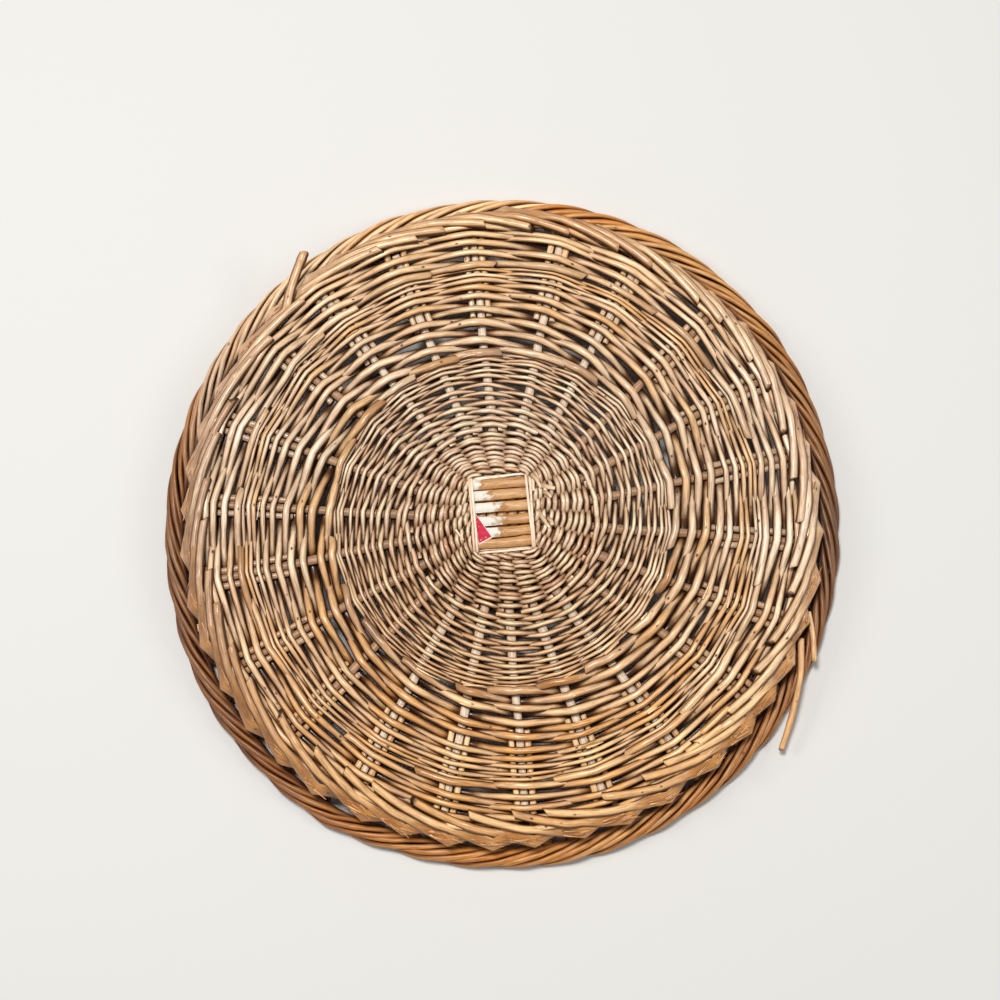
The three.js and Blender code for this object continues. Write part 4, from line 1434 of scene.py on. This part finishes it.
def make_stage(colours):
    """Floor, lamps, soft light all round, and the camera."""
    scene = bpy.context.scene
    mesh = bpy.data.meshes.new("floor")
    half = FLOOR_SIZE / 2
    corners = [(-half, -half, 0), (half, -half, 0), (half, half, 0), (-half, half, 0)]
    mesh.from_pydata(corners, [], [(0, 1, 2, 3)])
    # Painted board: matt, so the tray's shadow lies soft on it
    material = bpy.data.materials.new("painted_studio_floor")
    material.use_nodes = True
    surface = material.node_tree.nodes["Principled BSDF"]
    surface.inputs["Base Color"].default_value = (*colours.floor, 1)
    surface.inputs["Roughness"].default_value = 0.7
    mesh.materials.append(material)
    floor = bpy.data.objects.new("floor", mesh)
    scene.collection.objects.link(floor)

    for name, spot, size, power in LAMPS:
        lamp = bpy.data.lights.new(name, "AREA")
        lamp.shape = "DISK"
        lamp.size = size
        lamp.energy = power
        made = bpy.data.objects.new(name, lamp)
        made.location = spot
        x, y, z = spot
        made.rotation_euler = (0, math.atan2(math.hypot(x, y), z), math.atan2(y, x))
        scene.collection.objects.link(made)

    world = bpy.data.worlds.new("soft_light")
    world.use_nodes = True
    background = world.node_tree.nodes["Background"]
    background.inputs["Color"].default_value = (1, 1, 1, 1)
    background.inputs["Strength"].default_value = SKY_STRENGTH
    scene.world = world
    scene.view_settings.view_transform = "Standard"

    lens = bpy.data.cameras.new("camera")
    lens.lens = CAMERA_LENS
    lens.sensor_width = CAMERA_SENSOR
    lens.clip_end = CAMERA_FAR
    camera = bpy.data.objects.new("camera", lens)
    tilt = math.radians(CAMERA_TILT)
    x, y, z = CAMERA_AIM
    camera.location = (x, y - CAMERA_DISTANCE * math.sin(tilt), z + CAMERA_DISTANCE * math.cos(tilt))
    camera.rotation_euler = (tilt, 0, 0)
    scene.collection.objects.link(camera)
    scene.camera = camera


class WILLOW_PT_tray(bpy.types.Panel):
    """Lists the tray's pieces, sizes and colours"""

    bl_label = "Willow tray"
    bl_idname = "WILLOW_PT_tray"
    bl_space_type = "VIEW_3D"
    bl_region_type = "UI"
    bl_category = "Willow tray"

    def draw(self, context):
        for operator in OPERATORS:
            self.layout.operator(operator.bl_idname)
        for group in (context.scene.willow_sizes, context.scene.willow_colours):
            box = self.layout.box()
            for name in group.__annotations__:
                box.prop(group, name)


OPERATORS = (
    WILLOW_OT_sticks,
    WILLOW_OT_binding,
    WILLOW_OT_fine_weave,
    WILLOW_OT_coarse_weave,
    WILLOW_OT_stakes,
    WILLOW_OT_rim,
    WILLOW_OT_loose,
    WILLOW_OT_label,
    WILLOW_OT_stage,
)
CLASSES = (WillowSizes, WillowColours, *OPERATORS, WILLOW_PT_tray)


def register():
    for cls in CLASSES:
        bpy.utils.register_class(cls)
    bpy.types.Scene.willow_sizes = bpy.props.PointerProperty(type=WillowSizes)
    bpy.types.Scene.willow_colours = bpy.props.PointerProperty(type=WillowColours)


def unregister():
    del bpy.types.Scene.willow_colours
    del bpy.types.Scene.willow_sizes
    for cls in reversed(CLASSES):
        bpy.utils.unregister_class(cls)


def main():
    register()
    bpy.ops.willow.sticks()
    bpy.ops.willow.binding()
    bpy.ops.willow.fine_weave()
    bpy.ops.willow.coarse_weave()
    bpy.ops.willow.stakes()
    bpy.ops.willow.rim()
    bpy.ops.willow.loose()
    bpy.ops.willow.label()
    bpy.ops.willow.stage()


if __name__ == "__main__":
    main()
